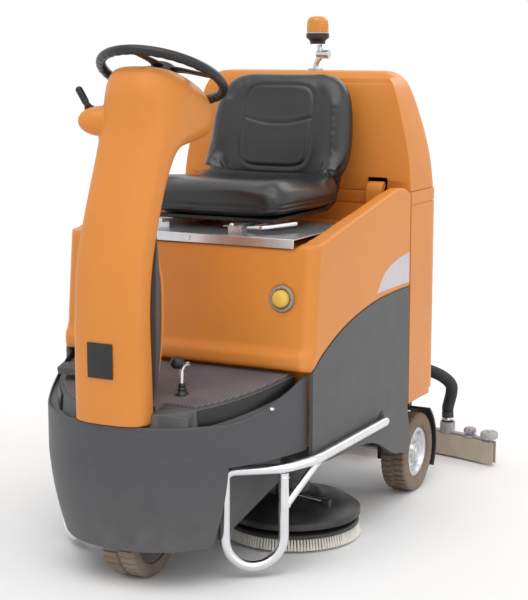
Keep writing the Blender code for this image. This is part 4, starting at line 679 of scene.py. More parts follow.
mat_ribs.links.new(tone, outs["Colour"])
mat_ribs.links.new(plus(mat_ribs, ins["Roughness"], times(mat_ribs, speck, 0.15)), outs["Roughness"])
mat_ribs.links.new(plus(mat_ribs, ridge, times(mat_ribs, speck, 0.15)), outs["Height"])
ribbed_rubber = finish("ribbed_rubber", mat_ribs, {
    "Colour": (0.130, 0.112, 0.130), "Rib Pitch": 0.0115, "Roughness": 0.72}, bump=0.8, depth=0.0016)
mat_inset = STEP_INSET + 0.014
mat_rows = ((mat_inset, 0.006, 0.0003), (mat_inset, 0.006, 0.005), (mat_inset + 0.002, 0.007, 0.007))
mat = skin("footwell_rubber_mat", [ramp(stepped(inset, deck_back - short), STEP_Z + up, STEP_SLOPE)
                                   for inset, short, up in mat_rows], ribbed_rubber)
carve(mat, foot_slot(0.004))
corner = oblong(0.107, 0.195, -0.814 + SETBACK, -0.756 + SETBACK)
carve(mat, prism("mat_corner", corner, 0.40, 0.60))
settle(mat, 30.0, 1e-5)
place_on(mat, "chassis", "mat_rubber", "footwell_mat")


def turned(name, profile, spot, axis, material, steps=48, sharp=35.0):
    """A lathe-turned piece from (radius, height) points, along an axis from a spot."""
    turn = Vector(axis).normalized().to_track_quat("Z", "Y").to_matrix()
    rings = [[Vector(spot) + turn @ Vector((max(r, 1e-5) * math.cos(a), max(r, 1e-5) * math.sin(a), z))
              for a in round_about(steps)] for r, z in profile]
    return skin(name, rings, material, sharp=sharp)


chrome = finish("chrome_plate", plate_skin, {
    "Colour": (0.78, 0.79, 0.81), "Shade": (0.60, 0.60, 0.62),
    "Grain": 240.0, "Roughness": 0.20, "Streaks": 0.35}, 1.0, 0.03, 0.0002)
for i, (x, behind_nose) in enumerate(((0.205, 0.098), (0.352, 0.258))):
    y = NOSE_Y + behind_nose
    head = turned("riser_screw_%d" % (i + 1), (
        (0.0, 0.004), (0.004, 0.0038), (0.0065, 0.002), (0.0068, 0.0), (0.0068, -0.002), (0.0, -0.002)),
        (x, y, LEDGE_Z + LEDGE_SLOPE * (y - NOSE_Y) + 0.0045), (0.2, -0.2, 1.0), chrome, 24)
    place_on(head, "chassis", "plated_steel")

# Steering column. An orange moulded cover that leans back and swells into the head, with an
# ear on its right for the key and the drive lever, a dark service cover and its orange
# fin on the driver's side, and a bare black badge plate let in to the front.
COLUMN_RINGS = ((-0.828, RIM_Z + 0.0008, 0.0, 0.057, 0.108), (-0.831, 0.600, 0.0, 0.057, 0.106),
                (-0.832, 0.740, 0.0, 0.055, 0.104), (-0.819, 0.860, 8.0, 0.055, 0.104),
                (-0.781, 0.980, 14.0, 0.055, 0.103), (-0.735, 1.090, 18.0, 0.058, 0.103),
                (-0.692, 1.165, 20.0, 0.074, 0.106), (-0.640, 1.202, 22.0, 0.122, 0.111),
                (-0.594, 1.236, 22.0, 0.168, 0.116), (-0.578, 1.280, 22.0, 0.165, 0.116),
                (-0.578, 1.316, 21.0, 0.134, 0.103), (-0.570, 1.333, 20.0, 0.080, 0.070))
EAR = Vector((-0.128, -0.700 + SETBACK, 1.222))

orange_plastic = finish("orange_plastic", moulded, {
    "Colour": (0.735, 0.262, 0.044), "Worn Colour": (0.80, 0.42, 0.16),
    "Grain": 560.0, "Roughness": 0.40, "Scuffs": 0.10, "Dust": 0.25},
    bump=0.16, extra=(("Coat Weight", 0.04), ("Coat Roughness", 0.3), ("Specular IOR Level", 0.34)))


def column_section(ring, count=72):
    """One oval section of the column, tilted back."""
    y0, z0, tilt, deep, wide = ring
    lean = math.radians(tilt)
    section = oval(wide, deep, 2.7, count)
    return [(x, y0 + SETBACK + v * math.cos(lean), z0 - v * math.sin(lean)) for x, v in section]


def between(rows, steps):
    """Rows of numbers with smooth rows put in between."""
    return through([np.array(row, float) for row in rows], steps)


def remoulded(obj, voxel, passes, sharp=60.0):
    """One even skin over joined shapes, its inner corners filled and edges rounded as a mould does."""
    grid = obj.modifiers.new("grid", "REMESH")
    grid.mode = "VOXEL"
    grid.voxel_size = voxel
    grid.use_smooth_shade = True
    even_out = obj.modifiers.new("even", "SMOOTH")
    even_out.factor = 0.5
    even_out.iterations = passes
    baked(obj)
    return settle(obj, sharp)


column_rows = between(COLUMN_RINGS, 5)
column = skin("column_shell", [column_section(row) for row in column_rows], orange_plastic)
ear_rows = []
for step in range(17):
    share = -1.0 + step / 8
    radius = 0.040 * max(0.0, 1 - abs(share) ** 2.0 * 0.94) ** 0.5
    spot = EAR + Vector((0.026 - 0.060 * share, -0.014 * share - 0.010, 0.0))
    ear_rows.append([
        (spot.x, spot.y + radius * math.cos(a), spot.z + radius * math.sin(a)) for a in round_about(40)])
carve(column, skin("ear", ear_rows, None), True)
remoulded(column, 0.0032, 9)
place_on(column, "chassis", "orange_shell", "column_cover")


def column_back(z):
    """Rearmost line of the column at a height."""
    spots = [(r[1] - r[3] * math.sin(math.radians(r[2])), r[0] + SETBACK + r[3] * math.cos(math.radians(r[2])))
             for r in COLUMN_RINGS[:7]]
    return float(np.interp(z, [s[0] for s in spots], [s[1] for s in spots]))


cover_rows = between(
    ((0.50, 0.086, 0.010), (0.58, 0.096, 0.032), (0.70, 0.100, 0.050), (0.80, 0.098, 0.047), (0.88, 0.090, 0.026),
     (0.935, 0.080, 0.006)), 6)
ARCH_POWER = 0.45
rings = []
for z, half, bulge in cover_rows:
    y = column_back(z) - 0.004
    arch = []
    for a in [math.pi * i / 32 for i in range(33)]:
        arch.append((half * math.copysign(abs(math.cos(a)) ** ARCH_POWER, math.cos(a)),
                     y + bulge * math.sin(a) ** ARCH_POWER, z))
    rings.append(arch + [(-half * 0.5, y - 0.006, z), (half * 0.5, y - 0.006, z)])
cover = skin("column_service_cover", rings, panel_plastic, sharp=50)
place_on(cover, "chassis", "grey_shell", "column_rear_cover")
rings = []
for z, half, bulge in cover_rows[1:-1]:
    y = column_back(z) - 0.004 + bulge
    reach = 0.011 * min(1.0, 9 * max(0.0, z - 0.555), 9 * max(0.0, 0.935 - z)) ** 0.6
    rings.append([(x * half * 0.90, y - 0.006 + (0.006 + max(0.0010, reach)) * up, z) for x, up in
                  ((-1, 0), (-1, 0.75), (-0.9, 1), (0.9, 1), (1, 0.75), (1, 0))])
fin = skin("column_fin", rings, orange_plastic)
place_on(fin, "chassis", "orange_shell")

recast("badge_plate", "chassis", "black_plastic", black_moulding, 0.0)
low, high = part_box("badge_plate")
badge_mid = Vector(((low.x + high.x) / 2, low.y + 0.0008, (low.z + high.z) / 2))
frame_rings = []
for x, z in oval((high.x - low.x) / 2 - 0.001, (high.z - low.z) / 2 - 0.001, 14, 64):
    spot = badge_mid + Vector((x, 0.0, z))
    inward = (badge_mid - spot).normalized()
    frame_rings.append([spot + inward * (0.0012 * math.cos(a)) + Vector((0, -0.0010 * math.sin(a), 0))
                        for a in round_about(8)])
badge_frame = skin("badge_bead", frame_rings, black_moulding, caps=False, joined=True)
place_on(badge_frame, "chassis", "black_plastic")

# Steering wheel and shaft. A soft black rim over a steel ring with finger grips beneath,
# three dished spokes to a capped hub, keyed to a plated shaft that leans back 25 degrees.
WHEEL_R = 0.166
WHEEL_T = 0.0135
WHEEL_TILT = math.radians(25.0)
WHEEL_CENTRE = Vector((0.0, -0.572 + SETBACK, 1.337))
wheel_turn = Matrix.Translation(WHEEL_CENTRE) @ Matrix.Rotation(-WHEEL_TILT, 4, "X")

soft_rim = finish("soft_rim", moulded, {
    "Colour": (0.012, 0.012, 0.013), "Worn Colour": (0.04, 0.04, 0.04),
    "Grain": 1400.0, "Roughness": 0.36, "Scuffs": 0.2, "Dust": 0.0}, bump=0.28, depth=0.0003)
rings = []
for a in round_about(192):
    ring = []
    for b in round_about(20):
        grip = 0.0012 * max(0.0, -math.sin(b)) * (0.5 + 0.5 * math.cos(36 * a))
        reach = WHEEL_R + (WHEEL_T - 0.0002 - grip) * math.cos(b)
        ring.append(wheel_turn @ Vector((reach * math.cos(a), reach * math.sin(a), (WHEEL_T - grip) * math.sin(b))))
    rings.append(ring)
wheel = skin("steering_wheel_rim", rings, soft_rim, caps=False, joined=True)
place_on(wheel, "steering", "black_plastic", "steering_wheel")
for k, a in enumerate((0, 180, 270)):
    turn = wheel_turn @ Matrix.Rotation(math.radians(a), 4, "Z")
    rings = []
    for x, z, w, t in between(
        ((0.020, 0.019, 0.021, 0.0045), (0.045, 0.018, 0.017, 0.0045), (0.070, 0.015, 0.0145, 0.0042),
         (0.120, 0.006, 0.0125, 0.004), (WHEEL_R - 0.012, 0.0005, 0.0125, 0.0042),
         (WHEEL_R - 0.002, 0.0, 0.014, 0.0042)), 4):
        rings.append([turn @ Vector((x, y, z + dz)) for y, dz in oval(w, t, 3.0, 20)])
    spoke = skin("wheel_spoke_%d" % (k + 1), rings, soft_rim)
    place_on(spoke, "steering", "black_plastic")
hub = turned("wheel_hub", ((0.0, 0.0335), (0.012, 0.0334), (0.0225, 0.0325), (0.0235, 0.031), (0.0245, 0.031),
                           (0.030, 0.0305), (0.034, 0.027), (0.036, 0.022), (0.036, 0.009), (0.034, 0.008),
                           (0.0, 0.008)), WHEEL_CENTRE, wheel_turn.to_3x3() @ Vector((0, 0, 1)), soft_rim, 48)
place_on(hub, "steering", "black_plastic")
recast("steering_shaft", "steering", "plated_steel", zinc, 0.0006)

# Controls on the column's ear. A ribbed black lever that tilts for forward and reverse, a
# key in its lock, and a split ring with a tan leather tag that hangs from the key.
LEVER_AXIS = Vector((-0.62, 0.20, 0.76)).normalized()
LEVER_SPOT = EAR + LEVER_AXIS * 0.044
profile = [(0.0, 0.069), (0.004, 0.0685), (0.0075, 0.0665), (0.0098, 0.062)]
for k in range(7):
    z = 0.058 - k * 0.0055
    profile += [(0.0100, z), (0.0084, z - 0.0014), (0.0084, z - 0.0028), (0.0100, z - 0.0042)]
profile += [(0.0095, 0.018), (0.008, 0.012), (0.0052, 0.010), (0.0048, -0.022), (0.0, -0.022)]
lever = turned("drive_lever_grip", profile, LEVER_SPOT, LEVER_AXIS, soft_rim, 28)
place_on(lever, "direction_lever", "black_plastic", "drive_lever")
gaiter = turned("lever_gaiter", (
    (0.0085, 0.010), (0.010, 0.006), (0.0088, 0.003), (0.0125, -0.001), (0.0108, -0.004), (0.0165, -0.007),
    (0.0150, -0.010)), LEVER_SPOT, LEVER_AXIS, soft_rim, 32)
place_on(gaiter, "chassis", "black_plastic")
recast("ignition_key", "key", "black_plastic", black_moulding, 0.0008)
KEY_AXIS = Vector((-0.35, 0.90, 0.25)).normalized()
KEY_SPOT = EAR + KEY_AXIS * 0.036
lock = turned("key_lock_bezel", (
    (0.0104, 0.0005), (0.0112, 0.0030), (0.0150, 0.0032), (0.0162, 0.0015), (0.0164, -0.006), (0.0104, -0.006)),
    KEY_SPOT + KEY_AXIS * 0.0035, KEY_AXIS, chrome, 36)
place_on(lock, "chassis", "plated_steel")
tan_leather = finish("tan_leather", moulded, {
    "Colour": (0.53, 0.35, 0.20), "Worn Colour": (0.36, 0.21, 0.10),
    "Grain": 1200.0, "Roughness": 0.5, "Scuffs": 0.5, "Dust": 0.0}, bump=0.35)
FOB_TOP = KEY_SPOT + KEY_AXIS * 0.030 + Vector((0.0, 0.0, -0.0112))
ring_line = [FOB_TOP + Vector((0.0, 0.010 * math.sin(a), -0.012 + 0.010 * math.cos(a)))
             for a in [math.radians(14 + 332 * i / 60) for i in range(61)]]
ring_piece = skin("key_split_ring", pipe_rings(ring_line, 0.0012, 10), chrome)
place_on(ring_piece, "fob", "plated_steel")
tag_rings = []
tag_mid = FOB_TOP + Vector((0, 0, -0.048))
for x, shrink in ((-0.0016, 0.0012), (-0.0016, 0.0006), (-0.0010, 0.0), (0.0010, 0.0), (0.0016, 0.0006),
                  (0.0016, 0.0012)):
    tag_rings.append([tag_mid + Vector((x, y, z)) for y, z in oval(0.011 - shrink, 0.026 - shrink, 6, 40)])
tag = skin("key_tag", tag_rings, tan_leather)
place_on(tag, "fob", "tag_leather", "key_fob")

# Pedal and parking brake. A grey ribbed treadle on the driver's right, hinged at its heel, and
# a chrome rod with a black knob and a rubber boot at its foot on the left.
PEDAL_X = -0.236
PEDAL_Y = -0.642 + SETBACK


def mat_top(y):
    """Height of the mat's top at a distance along the machine."""
    return STEP_Z + 0.007 + STEP_SLOPE * (y - NOSE_Y)


toe, heel = PEDAL_Y - 0.055, PEDAL_Y + 0.055
hinge = heel - 0.020
treadle = [(toe, mat_top(toe) + 0.018), (hinge, mat_top(hinge) + 0.0003), (heel, mat_top(heel) + 0.0006),
           (heel, mat_top(heel) + 0.0146)]
top_line = [(heel, mat_top(heel) + 0.0146), (PEDAL_Y + 0.010, mat_top(heel) + 0.0203),
            (PEDAL_Y - 0.030, mat_top(toe) + 0.046), (toe - 0.004, mat_top(toe) + 0.036)]
for (ya, za), (yb, zb) in zip(top_line, top_line[1:]):
    count = max(2, int(abs(yb - ya) / 0.0075))
    for k in range(count):
        for t, dip in ((0.05, 0.0), (0.55, 0.0), (0.65, 0.0018), (0.95, 0.0018)):
            s = (k + t) / count
            treadle.append((ya + (yb - ya) * s, za + (zb - za) * s - dip))
treadle.append(top_line[-1])
pedal = eased(prism("pedal_treadle", treadle, PEDAL_X - 0.033, PEDAL_X + 0.033, "X", panel_plastic), 0.0005, 1)
place_on(pedal, "pedal", "grey_shell", "accelerator_pedal")

brake_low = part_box("brake_lever")[0]
bx, by = 0.122, -0.690 + SETBACK
rod_line = even(flow(
    ((bx, by, brake_low.z), (bx, by, 0.480), (bx, by, 0.555), (bx + 0.002, by + 0.001, 0.574),
     (bx + 0.010, by + 0.004, 0.587), (bx + 0.020, by + 0.006, 0.590)), 8), 0.003)
brake = skin("brake_rod", pipe_rings(rod_line, 0.0064, 20), chrome)
place_on(brake, "brake", "plated_steel", "brake_lever")
knob = turned("brake_rod_knob", ((0.0, 0.034), (0.008, 0.0335), (0.013, 0.032), (0.017, 0.028), (0.019, 0.022),
                                 (0.019, 0.014), (0.016, 0.008), (0.012, 0.004), (0.0, 0.002)),
                                 (bx - 0.012, by - 0.002, 0.574), (0.05, 0, 1), soft_rim, 36)
place_on(knob, "brake", "black_plastic")
boot = turned("brake_boot", ((0.0072, 0.030), (0.009, 0.028), (0.0105, 0.022), (0.0095, 0.019), (0.0130, 0.013),
                             (0.0115, 0.010), (0.0175, 0.003), (0.0195, 0.0005), (0.0195, -0.001),
                             (0.0072, -0.001)), (bx, by, mat_top(by)), (0, 0, 1), soft_rim, 36)
place_on(boot, "chassis", "black_plastic")

# Side panels. Grey moulded skirts on both flanks with a sweeping top edge and a wheel arch,
# let in flush with the tank; the guard rail enters a black grommet in each.
SPLIT_Y = 0.215 + SETBACK
PANEL_T = 0.012
WHEEL_Y = 0.368 + SETBACK
WHEEL_RADIUS = 0.126
RAIL_END_Y = 0.006 + SETBACK
RAIL_Z = 0.316


def arc(centre, radius, start, end, steps):
    """Points on a circle from one angle to another, in degrees."""
    turns = [math.radians(start + (end - start) * i / steps) for i in range(steps + 1)]
    return [(centre[0] + radius * math.cos(a), centre[1] + radius * math.sin(a)) for a in turns]


PANEL_TOP = ((-0.468, 0.548), (-0.400, 0.588), (-0.300, 0.628), (-0.200, 0.655), (-0.100, 0.673), (0.000, 0.684),
             (0.110, 0.688), (0.209, 0.688))
PANEL_LOW = ((0.165, 0.176), (0.110, 0.186), (0.050, 0.214), (-0.010, 0.244), (-0.080, 0.264), (-0.170, 0.273),
             (-0.300, 0.279), (-0.412, 0.288), (-0.468, 0.322))


def side_line(points, per_span, shift=SETBACK):
    """A smooth side curve through (y, z) points."""
    return [(p[1] + shift, p[2]) for p in flow([(0.0, y, z) for y, z in points], per_span)]


def panel_sweep(lift=0.0):
    """The panel's swept top edge, lifted by a gap."""
    return [(y, z + lift) for y, z in side_line(PANEL_TOP, 6)]


arch = arc((WHEEL_Y, WHEEL_RADIUS), 0.150, 150, 168, 10)
outline = panel_sweep() + [(SPLIT_Y - 0.006, 0.30)] + arch + side_line(PANEL_LOW, 4)
for side, sign in SIDES:
    inner, outer = sign * (BODY_HALF - PANEL_T), sign * BODY_HALF
    panel = prism("side_skirt_" + side, outline, min(inner, outer), max(inner, outer), "X", panel_plastic)
    hole = turned("rail_hole", ((0.026, -0.05), (0.026, 0.05)), (sign * BODY_HALF, RAIL_END_Y, RAIL_Z), (1, 0, 0),
                  None, 40)
    carve(panel, hole)
    eased(panel, 0.0025, 3, 50)
    place_on(panel, "chassis", "grey_shell", "side_panel_" + side)
    ring = turned("rail_grommet_" + side, (
        (0.0150, 0.0005), (0.0165, 0.003), (0.0225, 0.003), (0.0255, 0.001), (0.0255, -0.011), (0.0150, -0.011)),
        (sign * BODY_HALF, RAIL_END_Y, RAIL_Z), (sign, 0, 0), soft_rim, 40)
    place_on(ring, "chassis", "black_plastic")

# Solution tank. The orange rotomoulded clean-water tank is a hood over the battery: a leaning
# front face with a rolled lip, raised side rails with soft shoulders, and a flat seat deck.
TANK_TOP_Z = 0.888
RAIL_IN = 0.343
DECK_Z = 0.880
FRONT_LEAN = math.atan2(0.029, TANK_TOP_Z - 0.612)
KNOB_AXIS = Vector((0.0, -math.cos(FRONT_LEAN), math.sin(FRONT_LEAN)))
KNOB_SPOT = Vector((0.306, -0.484 + SETBACK + (0.745 - 0.612) * math.tan(FRONT_LEAN), 0.745))

tank_side = [(y + SETBACK, z) for y, z in (
    (-0.448, 0.336), (-0.448, 0.5498), (-0.470, 0.5500), (-0.490, 0.552), (-0.500, 0.562), (-0.500, 0.590),
    (-0.492, 0.600), (-0.484, 0.612), (-0.455, TANK_TOP_Z), (-0.410, TANK_TOP_Z + 0.004), (0.060, 0.985),
    (0.120, 0.996), (0.170, 0.992), (0.2147, 0.975), (0.2147, 0.336))]
tank = prism("solution_tank_shell", tank_side, -BODY_HALF, BODY_HALF, "X", orange_plastic)
well = skin("seat_well", [[(x, y, z) for x, y in oblong(-half, half, -0.60, 0.60)]
                          for half, z in ((RAIL_IN, DECK_Z), (RAIL_IN + 0.024, DECK_Z + 0.16))], None)
carve(tank, well)
carve(tank, prism("battery_bay", oblong(-0.370, 0.370, -0.436 + SETBACK, 0.200 + SETBACK), 0.2, 0.82))
for sign in (1.0, -1.0):
    sweep = panel_sweep(0.0012) + [(SPLIT_Y + 0.02, 0.6892), (SPLIT_Y + 0.02, 0.10), (-0.60, 0.10), (-0.60, 0.5492)]
    low, high = sorted((sign * (BODY_HALF - PANEL_T - 0.0003), sign * 0.6))
    carve(tank, prism("panel_seat", sweep, low, high, "X"))
carve(tank, turned("knob_seat", ((0.0368, -0.012), (0.0368, 0.05)), KNOB_SPOT, KNOB_AXIS, None, 56))
for sign in (1.0, -1.0):
    chamfer = []
    for z, y in ((0.530, -0.500), (0.592, -0.500), (0.616, -0.484), (0.900, -0.454), (0.960, -0.400)):
        near = y + SETBACK - 0.008
        chamfer.append([(sign * x, at, z) for x, at in (
            (BODY_HALF - 0.030, near), (BODY_HALF + 0.012, near), (BODY_HALF + 0.012, near + 0.052))])
    carve(tank, skin("front_chamfer", chamfer, None))
remoulded(tank, 0.0064, 6, 70.0)
place_on(tank, "chassis", "orange_shell", "solution_tank")

# Release knob. A yellow fluted knob that a hand turns a third of a turn, in a grey bezel
# pressed into the tank's face, with two red index marks.
bezel_plastic = finish("bezel_plastic", moulded, {
    "Colour": (0.33, 0.30, 0.265), "Worn Colour": (0.42, 0.40, 0.37),
    "Grain": 900.0, "Roughness": 0.45, "Scuffs": 0.3, "Dust": 0.0}, bump=0.15)
bezel = turned("knob_bezel_ring", (
    (0.0265, -0.004), (0.0268, 0.002), (0.0285, 0.0042), (0.0325, 0.0044), (0.0350, 0.0030), (0.0358, 0.0005),
    (0.0358, -0.0115), (0.0085, -0.0115), (0.0085, -0.0062), (0.0265, -0.0062), (0.0265, -0.004)),
    KNOB_SPOT, KNOB_AXIS, bezel_plastic, 64)
place_on(bezel, "chassis", "bezel_plastic", "knob_bezel")
yellow_plastic = finish("yellow_plastic", moulded, {
    "Colour": (0.80, 0.53, 0.09), "Worn Colour": (0.85, 0.68, 0.35),
    "Grain": 800.0, "Roughness": 0.33, "Scuffs": 0.2, "Dust": 0.0}, bump=0.1)
red_paint = finish("red_marks", moulded, {
    "Colour": (0.55, 0.05, 0.03), "Worn Colour": (0.6, 0.2, 0.15),
    "Grain": 800.0, "Roughness": 0.4, "Scuffs": 0.2, "Dust": 0.0}, bump=0.1)


def fluted(name, profile, spot, axis, material, flutes, cut, steps):
    """A turned piece fluted down its side; each profile row ends with its share of the flutes' depth."""
    turn = axis.to_track_quat("Z", "Y").to_matrix()
    rings = []
    for r, z, share in profile:
        ring = []
        for a in round_about(steps):
            rim = r - share * cut * (0.5 + 0.5 * math.cos(flutes * a))
            ring.append(spot + turn @ Vector((rim * math.cos(a), rim * math.sin(a), z)))
        rings.append(ring)
    return skin(name, rings, material)


knob = fluted("release_knob_cap", (
    (0.0003, 0.0222, 0), (0.008, 0.0222, 0), (0.0150, 0.0214, 0), (0.0185, 0.0195, 0.2), (0.0215, 0.0165, 0.8),
    (0.0235, 0.013, 1), (0.0243, 0.006, 1), (0.0245, 0.001, 0.6), (0.0245, -0.0055, 0.0), (0.0003, -0.0055, 0)),
    KNOB_SPOT, KNOB_AXIS, yellow_plastic, 18, 0.0010, 144)
place_on(knob, "knob", "yellow_plastic", "release_knob")
across = KNOB_AXIS.cross(Vector((0, 0, 1))).normalized()
up = across.cross(KNOB_AXIS).normalized()
for k, way in enumerate((across, -across)):
    spot = KNOB_SPOT + way * 0.0306 + KNOB_AXIS * 0.0046
    slab = []
    for depth in (-0.0006, 0.0006):
        slab.append([spot + way * u * 0.0032 + up * v * 0.0013 + KNOB_AXIS * depth for u, v in (
            (-1, -1), (1, -1), (1, 1), (-1, 1))])
    mark = eased(skin("bezel_mark_%d" % (k + 1), slab, red_paint), 0.0003, 1)
    place_on(mark, "chassis", "bezel_plastic")

# Seat mounting. A bright folded steel plate on the seat deck with two runners, whose front
# lip shows as a light strip with a latch tab, bolt heads, a black seat pan and a bent bar.
recast("seat_plate", "chassis", "plated_steel", zinc, 0.0006, 1)
recast("seat_pan", "seat", "black_plastic", black_moulding, 0.003, 3)
recast("seat_adjust_bar", "seat_adjuster", "plated_steel", chrome, 0.0)
plate_low, plate_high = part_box("seat_plate")
STOP_HALF = 0.018
for k, x in enumerate((-0.115, 0.115)):
    y = plate_low.y + 0.045
    z = plate_high.z
    tab = prism("runner_stop_%d" % (k + 1), oblong(x - STOP_HALF, x + STOP_HALF, y, y + 0.075), z + 0.0003,
                z + 0.0030, material=zinc)
    place_on(eased(tab, 0.0008, 2), "chassis", "plated_steel")
    bolt = turned("runner_bolt_%d" % (k + 1), (
        (0.0, 0.0085), (0.0042, 0.0083), (0.0062, 0.0062), (0.0064, 0.0042), (0.0064, 0.0030), (0.0, 0.0030)),
        (x, y + 0.018, z), (0, 0, 1), chrome, 36)
    place_on(bolt, "chassis", "plated_steel")
catch = eased(prism("plate_catch", oblong(-0.018, 0.018, plate_low.y - 0.003, plate_low.y - 0.0003),
                    plate_low.z + 0.006, plate_low.z + 0.020, material=zinc), 0.0008, 2)
place_on(catch, "chassis", "plated_steel")

# Seat. One moulded bucket of foam under black grained vinyl: a crowned cushion that rolls
# over at its front, a backrest with full bolsters, sewn channels and a lumbar panel.
vinyl_grain, ins, outs = group("grained_vinyl", {
    "Colour": (0.01, 0.01, 0.01, 1), "Pebble": 420.0, "Roughness": 0.36})
place = vinyl_grain.nodes.new("ShaderNodeTexCoord").outputs["Object"]
pebble = vinyl_grain.nodes.new("ShaderNodeTexVoronoi")
pebble.feature = "SMOOTH_F1"
vinyl_grain.links.new(place, pebble.inputs["Vector"])
vinyl_grain.links.new(ins["Pebble"], pebble.inputs["Scale"])
crease = noise_in(vinyl_grain, place, ins["Pebble"], 0.07, 6.0, (1.0, 2.2, 1.0))
polish = noise_in(vinyl_grain, place, ins["Pebble"], 0.016, 3.0)
vinyl_grain.links.new(mixed(vinyl_grain, remap(vinyl_grain, polish, 0.0, 0.5), ins["Colour"],
                            (0.022, 0.022, 0.024, 1)), outs["Colour"])
uneven = times(vinyl_grain, maths(vinyl_grain, "SUBTRACT", polish, 0.5), 0.25)
rough = plus(vinyl_grain, ins["Roughness"], uneven)
vinyl_grain.links.new(plus(vinyl_grain, rough, times(vinyl_grain, pebble.outputs["Distance"], 0.12)),
                      outs["Roughness"])
vinyl_grain.links.new(plus(vinyl_grain, times(vinyl_grain, pebble.outputs["Distance"], 0.6), crease),
                      outs["Height"])
black_vinyl = finish("black_vinyl", vinyl_grain, {
    "Colour": (0.0085, 0.0085, 0.0100), "Pebble": 430.0, "Roughness": 0.30},
    bump=0.24, depth=0.0008, extra=(("Coat Weight", 0.22), ("Coat Roughness", 0.26)))

pan_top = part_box("seat_pan")[0].z + 0.0123
rings = []
for y, low, high, half in between(
    ((-0.331, 0.966, 0.992, 0.188), (-0.322, 0.948, 1.016, 0.212), (-0.296, 0.939, 1.031, 0.226),
     (-0.240, pan_top, 1.038, 0.233), (-0.150, pan_top, 1.031, 0.236), (-0.060, pan_top, 1.024, 0.236),
     (0.010, pan_top, 1.026, 0.235), (0.056, pan_top, 1.044, 0.230)), 4):
    mid, deep = (low + high) / 2, (high - low) / 2
    ring = []
    for x, z in oval(half, deep, 3.6, 96):
        bolster = 0.010 * math.exp(-((abs(x) - half * 0.80) / 0.035) ** 2) if z > 0 and y > -0.30 else 0.0
        dish = -0.006 * math.exp(-(x / 0.11) ** 2) * (1 if z > 0 else 0) * max(0.0, min(1.0, (y + 0.27) / 0.08))
        ring.append((x, y + SETBACK, mid + z + bolster + dish))
    rings.append(ring)
cushion = skin("seat_cover", rings, black_vinyl)
rings = []
for z, front, rear, half in between(
    ((1.000, 0.072, 0.104, 0.196), (1.030, 0.070, 0.128, 0.224), (1.075, 0.072, 0.160, 0.236),
     (1.130, 0.082, 0.174, 0.238), (1.200, 0.102, 0.186, 0.234), (1.262, 0.122, 0.197, 0.220),
     (1.300, 0.134, 0.203, 0.196), (1.320, 0.146, 0.203, 0.166), (1.328, 0.158, 0.197, 0.130)), 4):
    mid, deep = (front + rear) / 2, (rear - front) / 2
    fade = 1.0 if z < 1.25 else max(0.0, (1.33 - z) / 0.08)
    ring = []
    for x, y in oval(half, deep, 3.0, 96):
        wing = -0.020 * math.exp(-((abs(x) - half * 0.86) / 0.032) ** 2) * (1 if y < 0 else 0) * fade
        ring.append((x, mid + y + wing + SETBACK, z))
    rings.append(ring)
forms = [cushion, skin("backrest_form", rings, None)]
for sign in (1.0, -1.0):
    rings = []
    for y, z, r in between(
        ((-0.060, 1.010, 0.020), (0.000, 1.026, 0.027), (0.050, 1.052, 0.034), (0.088, 1.092, 0.038),
         (0.112, 1.140, 0.034), (0.126, 1.185, 0.024)), 5):
        rings.append([(sign * 0.203 + r * 0.9 * math.cos(a), y + SETBACK + r * math.sin(a) * 0.8,
                       z + r * math.sin(a) * 0.45) for a in round_about(32)])
    forms.append(skin("wing_form", rings, None))
gathered = bmesh.new()
for form in forms:
    gathered.from_mesh(form.data)
gathered.to_mesh(cushion.data)
gathered.free()
for form in forms[1:]:
    bpy.data.objects.remove(form)
pan_cut = [(y + SETBACK, z) for y, z in (
    (-0.3012, 0.80), (0.30, 0.80), (0.30, 1.2506), (0.1888, 1.2506), (0.1705, 1.090), (0.1035, pan_top + 0.0206),
    (0.0488, pan_top), (-0.3012, pan_top))]
remoulded(cushion, 0.0062, 15)
rest = np.array([v.co for v in cushion.data.vertices], float)
pad = cushion.modifiers.new("foam", "CLOTH")
pad.settings.quality = 4
pad.settings.use_pressure = True
pad.settings.uniform_pressure_force = 2.5
pad.settings.effector_weights.gravity = 0.0
pad.settings.tension_stiffness = 40.0
pad.settings.compression_stiffness = 40.0
scene = bpy.context.scene
for moment in range(1, 21):
    scene.frame_set(moment)
baked(cushion)
scene.frame_set(1)
puffed = np.array([v.co for v in cushion.data.vertices], float)
shift = puffed - rest
reach = np.linalg.norm(shift, axis=1, keepdims=True)
shift *= np.minimum(1.0, 0.0022 / np.maximum(reach, 1e-9))
cushion.data.vertices.foreach_set("co", (rest + shift).astype(np.float32).ravel())
ease = cushion.modifiers.new("ease", "SMOOTH")
ease.factor = 0.5
ease.iterations = 4
finer = cushion.modifiers.new("finer", "SUBSURF")
finer.levels = finer.render_levels = 1
baked(cushion)
settle(cushion, 70.0)
surface = BVHTree.FromObject(cushion, bpy.context.evaluated_depsgraph_get())


def on_cover(points, aim):
    """Points dropped on to the cover along a direction."""
    aim = Vector(aim).normalized()
    spots = []
    for p in points:
        hit = surface.ray_cast(Vector(p) - aim * 0.25, aim)
        if hit[0] is not None:
            spots.append(hit[0])
    return spots


def loop_of(half, low, high, power, count=72):
    """A rounded rectangle about the seat's middle line."""
    return [(x, (low + high) / 2 + v) for x, v in oval(half, (high - low) / 2, power, count)]


